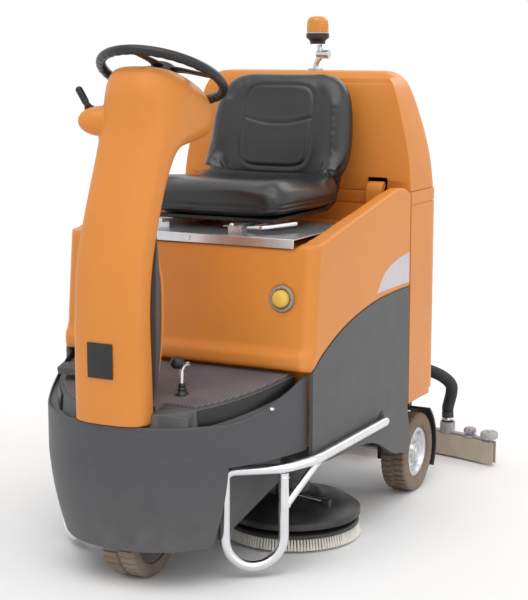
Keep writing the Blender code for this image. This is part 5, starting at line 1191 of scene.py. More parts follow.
panel_seam = on_cover([(x, 0.10, z) for x, z in loop_of(0.118, 1.050, 1.296, 5)], (0, 1, 0))
lumbar = [(x / 100, 0.10, 1.196 - 0.020 * math.cos(math.pi * x / 24) + 0.004) for x in np.linspace(-11.6, 11.6, 40)]
lumbar = on_cover(lumbar, (0, 1, 0))
GIRDLE_Z = 0.968
girdle = []
for x, v in oval(0.30, 0.245, 6, 120):
    y = -0.130 + SETBACK + v
    if y < 0.075:
        around = Vector((x, y, GIRDLE_Z))
        hit = surface.ray_cast(around, (Vector((0, -0.12, GIRDLE_Z)) - around).normalized())
        if hit[0] is not None:
            girdle.append(hit[0])
turned_at = max(range(len(girdle)), key=lambda i: (girdle[i] - girdle[i - 1]).length)
girdle = girdle[turned_at:] + girdle[:turned_at]
seams = [panel_seam + panel_seam[:1], lumbar, girdle]
lines = [np.array([tuple(p) for p in even(seam, 0.004)]) for seam in seams if len(seam) > 3]
points = np.array([v.co for v in cushion.data.vertices], float)
normals = np.array([v.normal for v in cushion.data.vertices], float)
nearest = np.full(len(points), 1e9)
for line in lines:
    for k in range(0, len(line), 200):
        nearest = np.minimum(nearest, np.sqrt(((points[:, None, :] - line[None, k:k + 200]) ** 2).sum(2)).min(1))
groove = 0.0028 * np.exp(-(nearest / 0.0042) ** 2) - 0.0007 * np.exp(-((nearest - 0.013) / 0.006) ** 2)
points -= normals * groove[:, None]
cushion.data.vertices.foreach_set("co", points.astype(np.float32).ravel())
cushion.data.update()
carve(cushion, prism("pan_space", pan_cut, -0.1938, 0.1938, "X"))
settle(cushion, 60.0, 1e-6)
place_on(cushion, "seat", "vinyl", "seat_cushion", "seat_backrest")
surface = BVHTree.FromObject(cushion, bpy.context.evaluated_depsgraph_get())
thread = finish("seam_thread", moulded, {
    "Colour": (0.02, 0.02, 0.021), "Worn Colour": (0.06, 0.06, 0.06),
    "Grain": 1500.0, "Roughness": 0.6, "Scuffs": 0.2, "Dust": 0.0}, bump=0.3)
for k, seam in enumerate(seams):
    stitches, faces = [], []
    line = even(seam, 0.0062)
    for a, b in zip(line, line[1:]):
        ahead = (b - a).normalized()
        found = surface.find_nearest((a + b) / 2)
        if found[0] is None:
            continue
        out = found[1]
        aside = ahead.cross(out).normalized()
        first = len(stitches)
        for t, w, h in ((-0.0021, 0.0001, -0.0002), (-0.0012, 0.0006, 0.0004), (0.0012, 0.0006, 0.0004),
                        (0.0021, 0.0001, -0.0002)):
            for u, v in ((-1, 0), (0, 1), (1, 0), (0, -1)):
                stitches.append(found[0] + ahead * t + aside * u * w + out * (h + v * w * 0.7))
        for near in range(first, first + 12, 4):
            faces += [(near + i, near + (i + 1) % 4, near + 4 + (i + 1) % 4, near + 4 + i) for i in range(4)]
        faces += [(first, first + 3, first + 2, first + 1), (first + 12, first + 13, first + 14, first + 15)]
    sewn = mesh_piece("seat_stitches_%d" % (k + 1), stitches, faces, thread)
    place_on(sewn, "seat", "vinyl")

# Recovery tank. The orange rotomoulded dirty-water tank behind the seat, with round rear
# corner posts, a moulded seam line under its rim and thin legs that reach down past the frame.
REAR_Y = 0.490 + SETBACK


def rear_outline(half, front_y, back_y, corner, sides=14):
    """Plan outline with square front corners and round rear corners."""
    right = arc((half - corner, back_y - corner), corner, 0, 90, sides)
    left = arc((-half + corner, back_y - corner), corner, 90, 180, sides)
    return [(half, front_y)] + right + left + [(-half, front_y)]


front = SPLIT_Y + 0.0003
rings = []
for shrink, z in ((0.004, 0.3182), (0.001, 0.3195), (0.0, 0.3225), (0.0, 0.9300), (0.0007, 0.9325),
                  (0.0030, 0.9340), (0.0030, 0.9365), (0.0007, 0.9380), (0.0, 0.9405), (0.0, 0.9705),
                  (0.0012, 0.9735), (0.0042, 0.9750)):
    line = rear_outline(BODY_HALF - shrink, front + shrink, REAR_Y - shrink, 0.110 - shrink)
    rings.append([(x, y, z) for x, y in line])
rear_tank = skin("recovery_tank_shell", rings, orange_plastic, sharp=50)
inner = rear_outline(BODY_HALF - 0.012, front + 0.012, REAR_Y - 0.012, 0.098)
carve(rear_tank, prism("tank_inside", inner, 0.520, 1.10))
frame_top = 0.3363
for low_x, high_x, y0, y1, top in (
    (-0.362, 0.362, 0.10, 0.918, frame_top), (-0.22, 0.22, 0.10, 0.918, 0.46), (-0.5, 0.5, 0.4028, 1.4, frame_top)):
    carve(rear_tank, prism("under_space", oblong(low_x, high_x, y0, y1), -0.1, top))
settle(rear_tank, 40.0, 1e-5)
place_on(rear_tank, "chassis", "orange_shell", "recovery_tank")

# Tank lid. A domed orange lid, hinged at the back, hollow underneath, notched for the two
# rounded latches that hold its front edge; its seams are rolled and its crown is soft.
lid_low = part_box("recovery_lid")[0]
skin_rows = (
    (0.3935, SPLIT_Y + 0.0045, 0.4835 + SETBACK, 0.106, lid_low.z),
    (0.3958, SPLIT_Y + 0.0022, 0.4858 + SETBACK, 0.108, lid_low.z + 0.0020),
    (0.396, SPLIT_Y + 0.002, 0.486 + SETBACK, 0.108, lid_low.z + 0.0060),
    (0.3955, SPLIT_Y + 0.0024, 0.4855 + SETBACK, 0.108, 0.992),
    (0.388, 0.221 + SETBACK, 0.480 + SETBACK, 0.104, 1.060), (0.372, 0.226 + SETBACK, 0.470 + SETBACK, 0.100,
        1.140),
    (0.350, 0.232 + SETBACK, 0.455 + SETBACK, 0.095, 1.220), (0.333, 0.238 + SETBACK, 0.441 + SETBACK, 0.090,
        1.272),
    (0.320, 0.244 + SETBACK, 0.430 + SETBACK, 0.084, 1.300), (0.302, 0.251 + SETBACK, 0.414 + SETBACK, 0.074,
        1.320),
    (0.280, 0.262 + SETBACK, 0.396 + SETBACK, 0.060, 1.3318), (0.262, 0.272 + SETBACK, 0.382 + SETBACK, 0.050,
        1.335))
rows = list(skin_rows[:3]) + between(skin_rows[3:], 5)


def lid_rings(rows):
    """Lid sections from rows of half width, front, back, corner radius and height."""
    return [[(x, y, z) for x, y in rear_outline(half, front, back, max(0.02, corner))]
            for half, front, back, corner, z in rows]


def front_corner(line):
    """True for an upright front edge of the lid, away from the latch notches."""
    spot, other = line.verts[0].co, line.verts[1].co
    if len(line.link_faces) != 2 or line.calc_face_angle(0.0) <= math.radians(50) or abs(spot.y - other.y) >= 0.02:
        return False
    return spot.y < SPLIT_Y + 0.05 and abs(spot.x) > 0.25 and abs(abs(spot.x) - LATCH_X) > 0.04


lid = skin("recovery_lid_shell", lid_rings(rows), orange_plastic, sharp=50)
LID_WALL = 0.008
hollow = [(h - LID_WALL, f + LID_WALL, b - LID_WALL, c - LID_WALL, z) for h, f, b, c, z in skin_rows[3:8]]
hollow.insert(0, (*hollow[0][:4], lid_low.z - 0.05))
carve(lid, skin("lid_hollow", lid_rings(hollow), None))
LATCH_X = 0.285
for sign in (1.0, -1.0):
    notch = oblong(sign * LATCH_X - 0.033, sign * LATCH_X + 0.033, SPLIT_Y - 0.015, SPLIT_Y + 0.015)
    carve(lid, eased(prism("latch_notch", notch, 0.972, 1.016), 0.006, 3))
work = bmesh.new()
work.from_mesh(lid.data)
weight = work.edges.layers.float.new("bevel_weight_edge")
for line in work.edges:
    if front_corner(line):
        line[weight] = 1.0
work.to_mesh(lid.data)
work.free()
edge = lid.modifiers.new("edge", "BEVEL")
edge.limit_method = "WEIGHT"
edge.width = 0.014
edge.segments = 5
baked(lid)
settle(lid, 40.0, 1e-5)
place_on(lid, "tank_lid", "orange_shell", "recovery_lid")
for side, sign in SIDES:
    profile = side_line(
        ((0.186, 0.936), (0.200, 0.930), (0.2140, 0.936), (0.2140, 0.972), (0.2245, 0.990), (0.221, 1.0025),
         (0.206, 1.003), (0.192, 0.994), (0.1848, 0.975), (0.1848, 0.950)), 3)
    latch = eased(prism("lid_latch_%s_lug" % side, profile, sign * LATCH_X - 0.026, sign * LATCH_X + 0.026, "X",
                        orange_plastic), 0.0045, 4, 50)
    place_on(latch, "latch_" + side, "orange_shell", "lid_latch_" + side)

# Warning beacon. An amber ribbed lens on a black base, on a jointed plated bracket that
# swings about its clamp screw so that the lamp stays upright.
recast("beacon_bracket", "tank_lid", "plated_steel", zinc, 0.0)
base_low, base_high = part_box("beacon_base")
lens_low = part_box("beacon_lens")[0]
bx = (base_low.x + base_high.x) / 2
by = (base_low.y + base_high.y) / 2
base = turned("beacon_lamp_base", (
    (0.0, 0.0340), (0.0335, 0.0340), (0.0355, 0.0325), (0.0360, 0.0305), (0.0360, 0.0195), (0.0345, 0.0180),
    (0.0330, 0.0172), (0.0262, 0.0112), (0.0240, 0.0080), (0.0240, 0.0012), (0.0228, 0.0), (0.0, 0.0)),
    (bx, by, base_low.z), (0, 0, 1), black_moulding, 64)
place_on(base, "warning_beacon", "black_plastic", "beacon_base")
amber = finish("amber_lens", moulded, {
    "Colour": (0.92, 0.34, 0.02), "Worn Colour": (0.95, 0.5, 0.15),
    "Grain": 700.0, "Roughness": 0.14, "Scuffs": 0.15, "Dust": 0.0},
    bump=0.03, extra=(("Transmission Weight", 0.35), ("IOR", 1.49), ("Coat Weight", 0.5), ("Coat Roughness", 0.08)))
lens = fluted("beacon_lens_dome", (
    (0.0003, 0.0520, 0), (0.010, 0.0518, 0), (0.018, 0.0508, 0), (0.0235, 0.0490, 0), (0.0280, 0.0455, 0.3),
    (0.0310, 0.0410, 0.8), (0.0325, 0.0350, 1), (0.0335, 0.0270, 1), (0.0340, 0.0150, 1), (0.0340, 0.0030, 1),
    (0.0335, 0.0005, 0), (0.0003, 0.0005, 0)), Vector((bx, by, lens_low.z)), Vector((0, 0, 1)), amber, 30, 0.0009,
    180)
place_on(lens, "warning_beacon", "amber_plastic", "beacon_lens")

# Wheels. Solid tan rubber tyres with moulded ribs round a zinc rear hub with its bolt circle;
# the driven wheel in the nose has a black groove between two ribbed bands on a dark hub.
tan_rubber = finish("tan_rubber", moulded, {
    "Colour": (0.165, 0.098, 0.052), "Worn Colour": (0.27, 0.19, 0.12),
    "Grain": 500.0, "Roughness": 0.70, "Scuffs": 0.8, "Dust": 0.55}, bump=0.4, depth=0.0006)


def wheel_ring(name, centre, profile, ribs, cut, material, steps=360):
    """A tyre turned about the wheel's axis; marked points sink between the ribs."""
    rings = []
    for r, x, tread in profile:
        ring = []
        for a in round_about(steps):
            gap = max(0.0, min(1.0, 3.2 * (math.cos(ribs * a + tread * 1.2) - 0.35))) if tread else 0.0
            ring.append(centre + Vector((x, (r - cut * gap) * math.cos(a), (r - cut * gap) * math.sin(a))))
        rings.append(ring)
    return skin(name, rings, material, caps=False, joined=True, sharp=50)


REAR_HALF = 0.041
HUB_R = 0.080
REAR_TREAD = [(HUB_R, 0.037, 0), (0.0830, 0.0402, 0), (0.0900, 0.0408, 0), (0.1020, 0.0410, 0),
              (0.1120, 0.0405, 0), (0.1150, 0.0400, 0), (0.1190, 0.0392, 1), (0.1225, 0.0380, 1),
              (0.1246, 0.0362, 1), (0.1257, 0.0330, 1), (0.1260, 0.0280, 1), (0.1260, 0.0160, 1),
              (0.1260, 0.0065, 1), (0.1254, 0.0052, 1), (0.1225, 0.0045, 0)]
for side, sign in SIDES:
    body = "rear_wheel_" + side
    centre = Vector((sign * 0.335, WHEEL_Y, WHEEL_RADIUS))
    profile = REAR_TREAD + [(r, -x, -t) for r, x, t in REAR_TREAD[::-1]]
    tyre = wheel_ring("rear_tyre_" + side + "_tread", centre, profile, 40, 0.0042, tan_rubber)
    place_on(tyre, body, "tan_tyre", "rear_tyre_" + side)
    h = REAR_HALF
    hub = turned("rear_hub_" + side + "_rim", (
        (0.0125, h - 0.009), (0.0125, h - 0.0085), (0.0215, h - 0.0085), (0.022, h - 0.0070), (0.0235, h - 0.006),
        (0.0285, h - 0.006), (0.0300, h - 0.0072), (0.0322, h - 0.0150), (0.0345, h - 0.0200),
        (0.0380, h - 0.0212), (0.0560, h - 0.0218), (0.0600, h - 0.0205), (0.0635, h - 0.0140),
        (0.0655, h - 0.0075), (0.0672, h - 0.0060), (0.0750, h - 0.0058), (0.0775, h - 0.0062),
        (0.0797, h - 0.0080), (0.0797, -h + 0.008), (0.0775, -h + 0.006), (0.0130, -h + 0.006)), centre,
        (sign, 0, 0), zinc, 96)
    place_on(hub, body, "plated_steel", "rear_hub_" + side)
    for k in range(5):
        a = 2 * math.pi * k / 5 + 0.3
        spot = centre + Vector((sign * (h - 0.0215), 0.047 * math.cos(a), 0.047 * math.sin(a)))
        nut = turned("rear_%s_nut_%d" % (side, k + 1), (
            (0.0, 0.0105), (0.0032, 0.0103), (0.0036, 0.0070), (0.0062, 0.0066), (0.0070, 0.0056), (0.0070, 0.0),
            (0.0, 0.0)), spot, (sign, 0, 0), chrome, 6, 20)
        place_on(nut, body, "plated_steel")
    cap = turned("rear_%s_cap" % side, (
        (0.0, h - 0.0035), (0.0070, h - 0.0038), (0.0120, h - 0.0050), (0.0150, h - 0.0070), (0.0155, h - 0.0084),
        (0.0, h - 0.0084)), centre, (sign, 0, 0), zinc, 48)
    place_on(cap, body, "plated_steel")

DRIVE_R = 0.1225
drive_centre = Vector((0.0, -0.710 + SETBACK, DRIVE_R))
DRIVE_TREAD = [(0.086, 0.046, 0), (0.0905, 0.0490, 0), (0.1000, 0.0500, 0), (0.1110, 0.0500, 0),
               (0.1150, 0.0490, 1), (0.1190, 0.0470, 1), (0.1212, 0.0448, 1), (0.1225, 0.0410, 1),
               (0.1225, 0.0300, 1), (0.1225, 0.0150, 1), (0.1225, 0.0065, 1), (0.1215, 0.0052, 1),
               (0.1150, 0.0040, 0)]
tyre = wheel_ring("drive_tyre_tread", drive_centre, DRIVE_TREAD + [(r, -x, -t) for r, x, t in DRIVE_TREAD[::-1]],
                  34, 0.0040, tan_rubber)
place_on(tyre, "drive_wheel", "tan_tyre", "drive_tyre")
w = 0.050
hub_half = ((0.0, w + 0.0178), (0.0105, w + 0.0178), (0.0120, w + 0.0165), (0.0120, w + 0.003),
            (0.0150, w + 0.002), (0.0380, w + 0.002), (0.0400, w + 0.0012), (0.0430, w - 0.0010),
            (0.0560, w - 0.0100), (0.0600, w - 0.0120), (0.0800, w - 0.0080), (0.0840, w - 0.0070),
            (0.0857, w - 0.0085))
hub = turned("drive_hub_disc", hub_half + tuple((r, -z) for r, z in hub_half[::-1]), drive_centre, (1, 0, 0),
             black_paint, 96)
place_on(hub, "drive_wheel", "painted_steel", "drive_hub")
for k in range(10):
    a = 2 * math.pi * (k % 5) / 5
    sign = 1.0 if k < 5 else -1.0
    spot = drive_centre + Vector((sign * (w + 0.0015), 0.026 * math.cos(a), 0.026 * math.sin(a)))
    nut = turned("drive_nut_%d" % (k + 1), (
        (0.0, 0.0060), (0.0050, 0.0058), (0.0064, 0.0045), (0.0064, 0.0), (0.0, 0.0)), spot, (sign, 0, 0), zinc, 6,
        20)
    place_on(nut, "drive_wheel", "plated_steel")

# Mudguards. Black moulded flaps bent round behind each rear wheel and screwed to the frame.
for side in ("left", "right"):
    recast("mudguard_" + side, "chassis", "black_plastic", black_moulding, 0.0015, 2, 50)

# Brush head. Two round black housings on one moulded deck with domed shoulders, a painted
# motor on each, a clamped chrome link on the left housing, and a disc set with nylon tufts.
BRUSH_R = 0.203
BRUSH_X = 0.209
BRUSH_Y = -0.205 + SETBACK
COVER_Z = 0.066
COVER_TOP = 0.132
deck_skirt = BRUSH_R - 0.004
cover_line = ((0.0, COVER_TOP), (0.074, COVER_TOP), (0.080, COVER_TOP - 0.0010), (0.092, COVER_TOP - 0.0085),
              (0.100, COVER_TOP - 0.012), (deck_skirt - 0.062, COVER_TOP - 0.0175),
              (deck_skirt - 0.056, COVER_TOP - 0.0195), (deck_skirt - 0.030, COVER_Z + 0.038),
              (deck_skirt - 0.007, COVER_Z + 0.022), (deck_skirt - 0.002, COVER_Z + 0.0185),
              (deck_skirt, COVER_Z + 0.016), (deck_skirt, COVER_Z + 0.0015), (deck_skirt - 0.0015, COVER_Z),
              (deck_skirt - 0.006, COVER_Z), (deck_skirt - 0.010, COVER_Z + 0.012),
              (deck_skirt - 0.064, COVER_TOP - 0.026), (0.020, COVER_TOP - 0.026), (0.020, COVER_TOP - 0.008),
              (0.0, COVER_TOP - 0.008))
brush_cover = turned("brush_deck_housings", cover_line, (BRUSH_X, BRUSH_Y, 0), (0, 0, 1), black_moulding, 144, 40)
carve(brush_cover, turned("right_housing", cover_line, (-BRUSH_X, BRUSH_Y, 0), (0, 0, 1), None, 144), True)
bridge = oblong(-0.15, 0.15, BRUSH_Y - 0.070, 0.025 + SETBACK)
carve(brush_cover, prism("bridge", bridge, COVER_TOP - 0.016, COVER_TOP), True)
for sign in (1.0, -1.0):
    carve(brush_cover, turned("guide_post", ((0.010, COVER_TOP - 0.006), (0.010, 0.249), (0.009, 0.250)),
                              (sign * 0.100, SETBACK, 0), (0, 0, 1), None, 40), True)
settle(brush_cover, 40.0, 1e-6)
place_on(brush_cover, "brush_head", "black_plastic", "brush_deck")

strand, ins, outs = group("bristle_strands", {
    "Colour": (0.7, 0.7, 0.6, 1), "Strands": 1500.0, "Roughness": 0.6})
place = strand.nodes.new("ShaderNodeTexCoord").outputs["Object"]
fibres = noise_in(strand, place, ins["Strands"], 1.0, 2.0, (1.0, 1.0, 0.05))
soil = noise_in(strand, place, ins["Strands"], 0.03, 4.0)
tone = mixed(strand, 0.22, ins["Colour"], (0.36, 0.31, 0.24, 1))
tone = mixed(strand, remap(strand, fibres, 0.0, 1.0, 0.35, 0.65), tone, ins["Colour"])
strand.links.new(mixed(strand, remap(strand, soil, 0.0, 0.4, 0.5, 0.75), tone, (0.40, 0.35, 0.28, 1)),
                 outs["Colour"])
strand.links.new(ins["Roughness"], outs["Roughness"])
strand.links.new(fibres, outs["Height"])
nylon = finish("nylon_bristle", strand, {
    "Colour": (0.93, 0.90, 0.84), "Strands": 1500.0, "Roughness": 0.55}, bump=0.6, depth=0.0008)
TUFT_PITCH = 0.0088
TUFT_ROWS = ((0.094, 0.3), (0.112, 0.4), (0.130, 0.5), (0.148, 0.6), (0.164, 0.7), (0.178, 0.85), (0.1895, 1.0))
disc_z = COVER_Z - 0.026


def tuft_rows(centre):
    """Rows of tapered tufts set in a disc; each leans out, and a sine of its number makes it uneven."""
    points, faces = [], []
    for row, (r, lean) in enumerate(TUFT_ROWS):
        count = int(2 * math.pi * r / TUFT_PITCH)
        for k in range(count):
            a = 2 * math.pi * (k + 0.5 * (row % 2)) / count
            wobble = math.sin(k * 12.9898 + row * 78.233)
            aside = a + 0.003 * math.sin(k * 39.346 + row * 11.135)
            root = Vector((centre[0] + r * math.cos(a), centre[1] + r * math.sin(a), disc_z + 0.0004))
            tip_r = r + 0.0075 * lean + 0.0006 * wobble
            tip = Vector((centre[0] + tip_r * math.cos(aside), centre[1] + tip_r * math.sin(aside),
                          0.0080 + 0.0003 * (1 + wobble)))
            first = len(points)
            for t, fat in ((0.0, 0.0027), (0.45, 0.0031), (1.0, 0.0043)):
                mid = root.lerp(tip, t)
                for b in round_about(6):
                    wide = fat * (1 + 0.12 * math.sin(5 * b + k))
                    points.append(mid + Vector((wide * math.cos(b), wide * math.sin(b), 0)))
            for near in (first, first + 6):
                faces += [(near + j, near + (j + 1) % 6, near + 6 + (j + 1) % 6, near + 6 + j) for j in range(6)]
            faces += [tuple(range(first, first + 6)), tuple(range(first + 12, first + 18))[::-1]]
    return points, faces


for side, sign in SIDES:
    top = COVER_TOP + 0.0003
    motor = turned("brush_motor_%s_case" % side, (
        (0.0, 0.118), (0.018, 0.118), (0.020, 0.1168), (0.038, 0.1162), (0.0445, 0.1145), (0.0490, 0.110),
        (0.0500, 0.106), (0.0500, 0.040), (0.0488, 0.0390), (0.0488, 0.0370), (0.0500, 0.0360), (0.0500, 0.010),
        (0.0500, 0.0), (0.0, 0.0)), (sign * BRUSH_X, BRUSH_Y, top), (0, 0, 1), black_paint, 64)
    place_on(motor, "brush_head", "painted_steel", "brush_motor_" + side)
    body = "brush_" + side
    spot = (sign * BRUSH_X, BRUSH_Y, 0)
    disc = turned("brush_disc_%s_plate" % side, (
        (0.0, COVER_TOP - 0.0083), (0.0180, COVER_TOP - 0.0083), (0.0194, COVER_TOP - 0.0100),
        (0.0194, disc_z + 0.018), (0.0215, disc_z + 0.016), (0.188, disc_z + 0.0125), (0.1925, disc_z + 0.0110),
        (0.195, disc_z + 0.008), (0.195, disc_z + 0.001), (0.194, disc_z), (0.0, disc_z)), spot, (0, 0, 1),
        black_moulding, 120)
    place_on(disc, body, "black_plastic", "brush_disc_" + side)
    bristle = mesh_piece("brush_%s_tufts" % side, *tuft_rows(spot), nylon, 60)
    place_on(bristle, body, "bristle", "brush_bristles_" + side)
link_line = [Vector((BRUSH_X + 0.020, BRUSH_Y - 0.055, COVER_TOP + 0.006)),
             Vector((BRUSH_X + 0.135, BRUSH_Y - 0.045, COVER_Z + 0.056))]
link = skin("brush_link_rod", pipe_rings(even(link_line, 0.01), 0.0045, 20), chrome)
place_on(link, "brush_head", "plated_steel")
for k, share in enumerate((0.0, 1.0)):
    spot = link_line[0].lerp(link_line[1], 0.04 + 0.92 * share)
    around = oblong(spot.x - 0.013, spot.x + 0.013, spot.y - 0.010, spot.y + 0.010)
    foot = COVER_Z + 0.030 + 0.028 * (1 - share)
    block = prism("brush_link_clamp_%d" % (k + 1), around, foot, spot.z + 0.009, material=black_moulding)
    clamp = eased(block, 0.003, 2)
    place_on(clamp, "brush_head", "black_plastic")

# Guard rails. One bent and welded chromed tube on each side: a rail along the flank that ends
# in the panel, a hoop in front of the brush that nearly reaches the floor, and a brace.
TUBE_R = 0.014
HOOP_TURN = math.radians(39.0)
HOOP_HALF = 0.080
BRACE_R = 0.0105


def bent(points, radius, steps=8):
    """A line in space with its corners bent to arcs."""
    spots = [Vector(p) for p in points]
    made = [spots[0]]
    for before, corner, after in zip(spots, spots[1:], spots[2:]):
        reach = min(radius, (before - corner).length / 2, (after - corner).length / 2)
        first = corner + (before - corner).normalized() * reach
        last = corner + (after - corner).normalized() * reach
        made += [first * (1 - t) ** 2 + corner * 2 * t * (1 - t) + last * t ** 2
                 for t in [i / steps for i in range(steps + 1)]]
    return made + [spots[-1]]


for side, sign in SIDES:
    across = Vector((math.cos(HOOP_TURN), math.sin(HOOP_TURN), 0.0))
    middle = Vector((0.294, -0.605 + SETBACK, 0.0))
    inner, outer = middle - across * HOOP_HALF, middle + across * HOOP_HALF
    low, rail_z, outside = 0.034, RAIL_Z - 0.014, BODY_HALF + TUBE_R + 0.004
    flip = Matrix.Diagonal((sign, 1.0, 1.0))
    rail = [(0.2957, RAIL_END_Y, RAIL_Z), (outside, RAIL_END_Y, RAIL_Z), (outside, -0.478 + SETBACK, RAIL_Z),
            (outer.x + 0.004, outer.y, rail_z), (inner.x, inner.y, rail_z),
            (inner.x, inner.y, low + HOOP_HALF + 0.03)]
    turns = [math.pi + math.pi * i / 28 for i in range(29)]
    arc_line = [middle + across * HOOP_HALF * math.cos(a)
                + Vector((0, 0, low + HOOP_HALF + HOOP_HALF * math.sin(a))) for a in turns]
    leg_top = outer + Vector((0, 0, rail_z - 0.012))
    whole = bent(rail, 0.026)
    line = even([flip @ p for p in whole[:-1] + arc_line + [leg_top]], 0.0075)
    guard = skin("guard_rail_%s_tube" % side, pipe_rings(line, TUBE_R, 28), chrome)
    place_on(guard, "chassis", "plated_steel", "guard_rail_" + side)
    brace_line = [flip @ Vector((outer.x, outer.y, 0.190)),
                  flip @ Vector((outside - 0.002, outer.y + 0.095, RAIL_Z - 0.004))]
    brace = skin("guard_brace_%s" % side, pipe_rings(even(brace_line, 0.01), BRACE_R, 24), chrome)
    place_on(brace, "chassis", "plated_steel")
    welds = ((brace_line[0], brace_line[1] - brace_line[0], BRACE_R),
             (brace_line[1], brace_line[0] - brace_line[1], BRACE_R), (flip @ leg_top, Vector((0, 0, -1)), TUBE_R))
    for k, (spot, aim, r) in enumerate(welds):
        weld = turned("guard_weld_%s_%d" % (side, k + 1), (
            (r - 0.001, 0.0185), (r + 0.0012, 0.0165), (r + 0.0022, 0.0135), (r + 0.0012, 0.0105),
            (r - 0.001, 0.0090)), spot, aim, chrome, 32)
        place_on(weld, "chassis", "plated_steel")

# Squeegee. A cast grey beam bowed forward in the middle, on a black swinging arm; two gum
# rubber blades clamped fore and aft with a strap and wing knobs, and a guide roller at each end.
cast_alloy = finish("cast_alloy", plate_skin, {
    "Colour": (0.42, 0.39, 0.415), "Shade": (0.28, 0.26, 0.27),
    "Grain": 500.0, "Roughness": 0.44, "Streaks": 0.8}, 0.35, 0.5, 0.0005)
gum_rubber = finish("gum_rubber", moulded, {
    "Colour": (0.60, 0.52, 0.40), "Worn Colour": (0.40, 0.33, 0.24),
    "Grain": 700.0, "Roughness": 0.55, "Scuffs": 0.6, "Dust": 0.5}, bump=0.2)
roller_rubber = finish("roller_plastic", moulded, {
    "Colour": (0.47, 0.44, 0.46), "Worn Colour": (0.6, 0.58, 0.58),
    "Grain": 700.0, "Roughness": 0.5, "Scuffs": 0.5, "Dust": 0.3}, bump=0.2)
BLADE_CLEAR = 0.006


def bow_y(x, offset=0.0):
    """The bow of the squeegee in plan."""
    return SQUEEGEE_Y - SQUEEGEE_BOW * x * x + offset


def bowed(name, half, section, material, count=64):
    """A bar with an (offset, height) section that follows the bow."""
    rings = []
    for i in range(count + 1):
        x = half * (2 * i / count - 1)
        rings.append([(x, bow_y(x, off), z) for off, z in section])
    return skin(name, rings, material)


recast("squeegee_arm", "squeegee_lift_arm", "painted_steel", black_paint, 0.0)
beam = bowed("squeegee_beam_casting", SQUEEGEE_HALF - 0.012, (
    (-0.0140, 0.0530), (-0.0132, 0.0521), (0.0112, 0.0521), (0.0120, 0.0530), (0.0120, 0.0700), (0.0095, 0.0720),
    (0.0095, 0.0830), (0.0110, 0.0850), (0.0105, 0.0895), (0.0085, 0.0900), (-0.0105, 0.0900), (-0.0130, 0.0890),
    (-0.0140, 0.0865)), cast_alloy)
plate_top = eased(prism("beam_plate", oblong(-0.120, 0.120, 0.650 + SETBACK, 0.840 + SETBACK), 0.0902, 0.102),
                  0.003, 2)
carve(beam, plate_top, True)
for x, y, r, z0, z1 in ((0.0, 0.700 + SETBACK, 0.009, 0.095, 0.200), (PORT_X, port_y, 0.026, 0.0835, 0.122)):
    carve(beam, turned("beam_stub", ((r, z0), (r, z1 - 0.001), (r - 0.001, z1)), (x, y, 0), (0, 0, 1), None, 48),
          True)
settle(beam, 35.0, 1e-6)
place_on(beam, "squeegee_head", "cast_aluminium", "squeegee_beam")
for side, sign in SIDES:
    spot = Vector((sign * 0.40, bow_y(0.40), 0.084))
    boss = fluted("squeegee_knob_" + side, (
        (0.0003, 0.0325, 0), (0.012, 0.0322, 0.1), (0.0175, 0.0305, 0.6), (0.0205, 0.0270, 1), (0.0220, 0.0225, 1),
        (0.0220, 0.0150, 1), (0.0200, 0.0135, 0.5), (0.0150, 0.0120, 0), (0.0150, 0.0075, 0), (0.0235, 0.0065, 0),
        (0.0238, 0.0, 0), (0.0003, 0.0, 0)), spot, Vector((0, 0, 1)), cast_alloy, 8, 0.0026, 96)
    place_on(boss, "squeegee_head", "cast_aluminium")
for label, near, far in (("front", -0.0193, -0.0143), ("rear", 0.0123, 0.0173)):
    blade = bowed("squeegee_%s_rubber" % label, SQUEEGEE_HALF, (
        (near, 0.0820), (near, BLADE_CLEAR + 0.002), ((near + far) / 2, BLADE_CLEAR), (far, BLADE_CLEAR + 0.002),
        (far, 0.0820)), gum_rubber)
    place_on(blade, "squeegee_head", "gum_rubber", "squeegee_%s_blade" % label)
strap = bowed("squeegee_strap", SQUEEGEE_HALF - 0.004, (
    (0.0175, 0.0600), (0.0189, 0.0600), (0.0189, 0.0780), (0.0175, 0.0780)), chrome)
place_on(strap, "squeegee_head", "cast_aluminium")
for k in range(9):
    x = -0.44 + 0.11 * k
    screw = turned("strap_screw_%d" % (k + 1), (
        (0.0, 0.0030), (0.0028, 0.0028), (0.0042, 0.0018), (0.0046, 0.0), (0.0, 0.0)),
        (x, bow_y(x, 0.0189), 0.069), (2 * SQUEEGEE_BOW * x, 1, 0), zinc, 20)
    place_on(screw, "squeegee_head", "plated_steel")
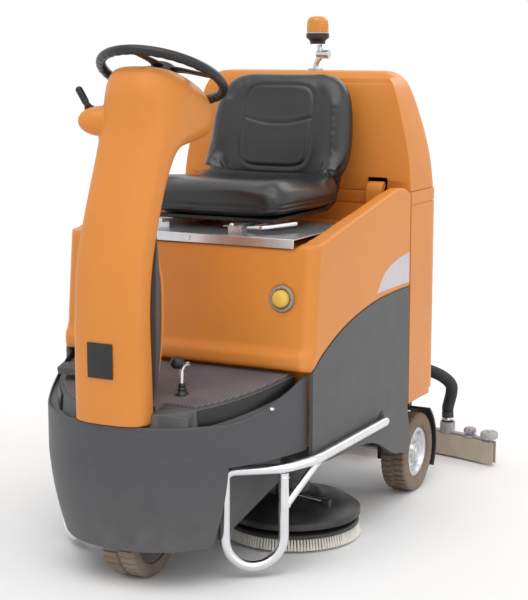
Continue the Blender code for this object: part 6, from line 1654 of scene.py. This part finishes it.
for side, sign in SIDES:
    x = sign * (SQUEEGEE_HALF - 0.022)
    roller = turned("end_roller_%s_tyre" % side, (
        (0.0, 0.0158), (0.0085, 0.0158), (0.0090, 0.0135), (0.0185, 0.0135), (0.0200, 0.0155), (0.0250, 0.0150),
        (0.0285, 0.0125), (0.0300, 0.0090), (0.0300, -0.0030), (0.0285, -0.0065), (0.0240, -0.0098),
        (0.0, -0.0098)), (x, bow_y(abs(x)), 0.1007), (0, 0, 1), roller_rubber, 64)
    place_on(roller, "end_roller_" + side, "roller_rubber", "squeegee_roller_" + side)
    bolt = turned("end_roller_%s_bolt" % side, (
        (0.0, 0.0195), (0.0042, 0.0193), (0.0058, 0.0175), (0.0058, 0.0136), (0.0, 0.0136)),
        (x, bow_y(abs(x)), 0.1007), (0, 0, 1), zinc, 6, 20)
    place_on(bolt, "end_roller_" + side, "plated_steel")
clips = ((route[0], route[6] - route[0], "chassis"), (route[-1], route[-7] - route[-1], "squeegee_head"))
for k, (spot, aim, body) in enumerate(clips):
    clip = turned("hose_clip_%d" % (k + 1), (
        (HOSE_R - 0.0004, 0.0160), (HOSE_R + 0.0008, 0.0158), (HOSE_R + 0.0010, 0.0150), (HOSE_R + 0.0010, 0.0080),
        (HOSE_R + 0.0008, 0.0072), (HOSE_R - 0.0004, 0.0070)), spot, aim, chrome, 48)
    place_on(clip, body, "plated_steel")

# Side sticker. The maker's printed sticker on the tank's left flank above the panel is left as
# a bare neutral film of the same sector shape.
film = finish("bare_film", moulded, {
    "Colour": (0.62, 0.56, 0.60), "Worn Colour": (0.7, 0.66, 0.68),
    "Grain": 900.0, "Roughness": 0.35, "Scuffs": 0.15, "Dust": 0.0}, bump=0.05)
STICKER_BACK = 0.033
sector = side_line(((-0.056, 0.7035), (-0.003, 0.754), (0.082, 0.782), (0.188, 0.796)), 8, STICKER_BACK)
sector += side_line(((0.188, 0.7035), (0.100, 0.7040), (0.020, 0.7035), (-0.052, 0.7028)), 6, STICKER_BACK)
sticker = skin("flank_sticker", [[(BODY_HALF + d, y, z) for y, z in sector] for d in (-0.0003, 0.0005)], film)
place_on(sticker, "chassis", "orange_shell")
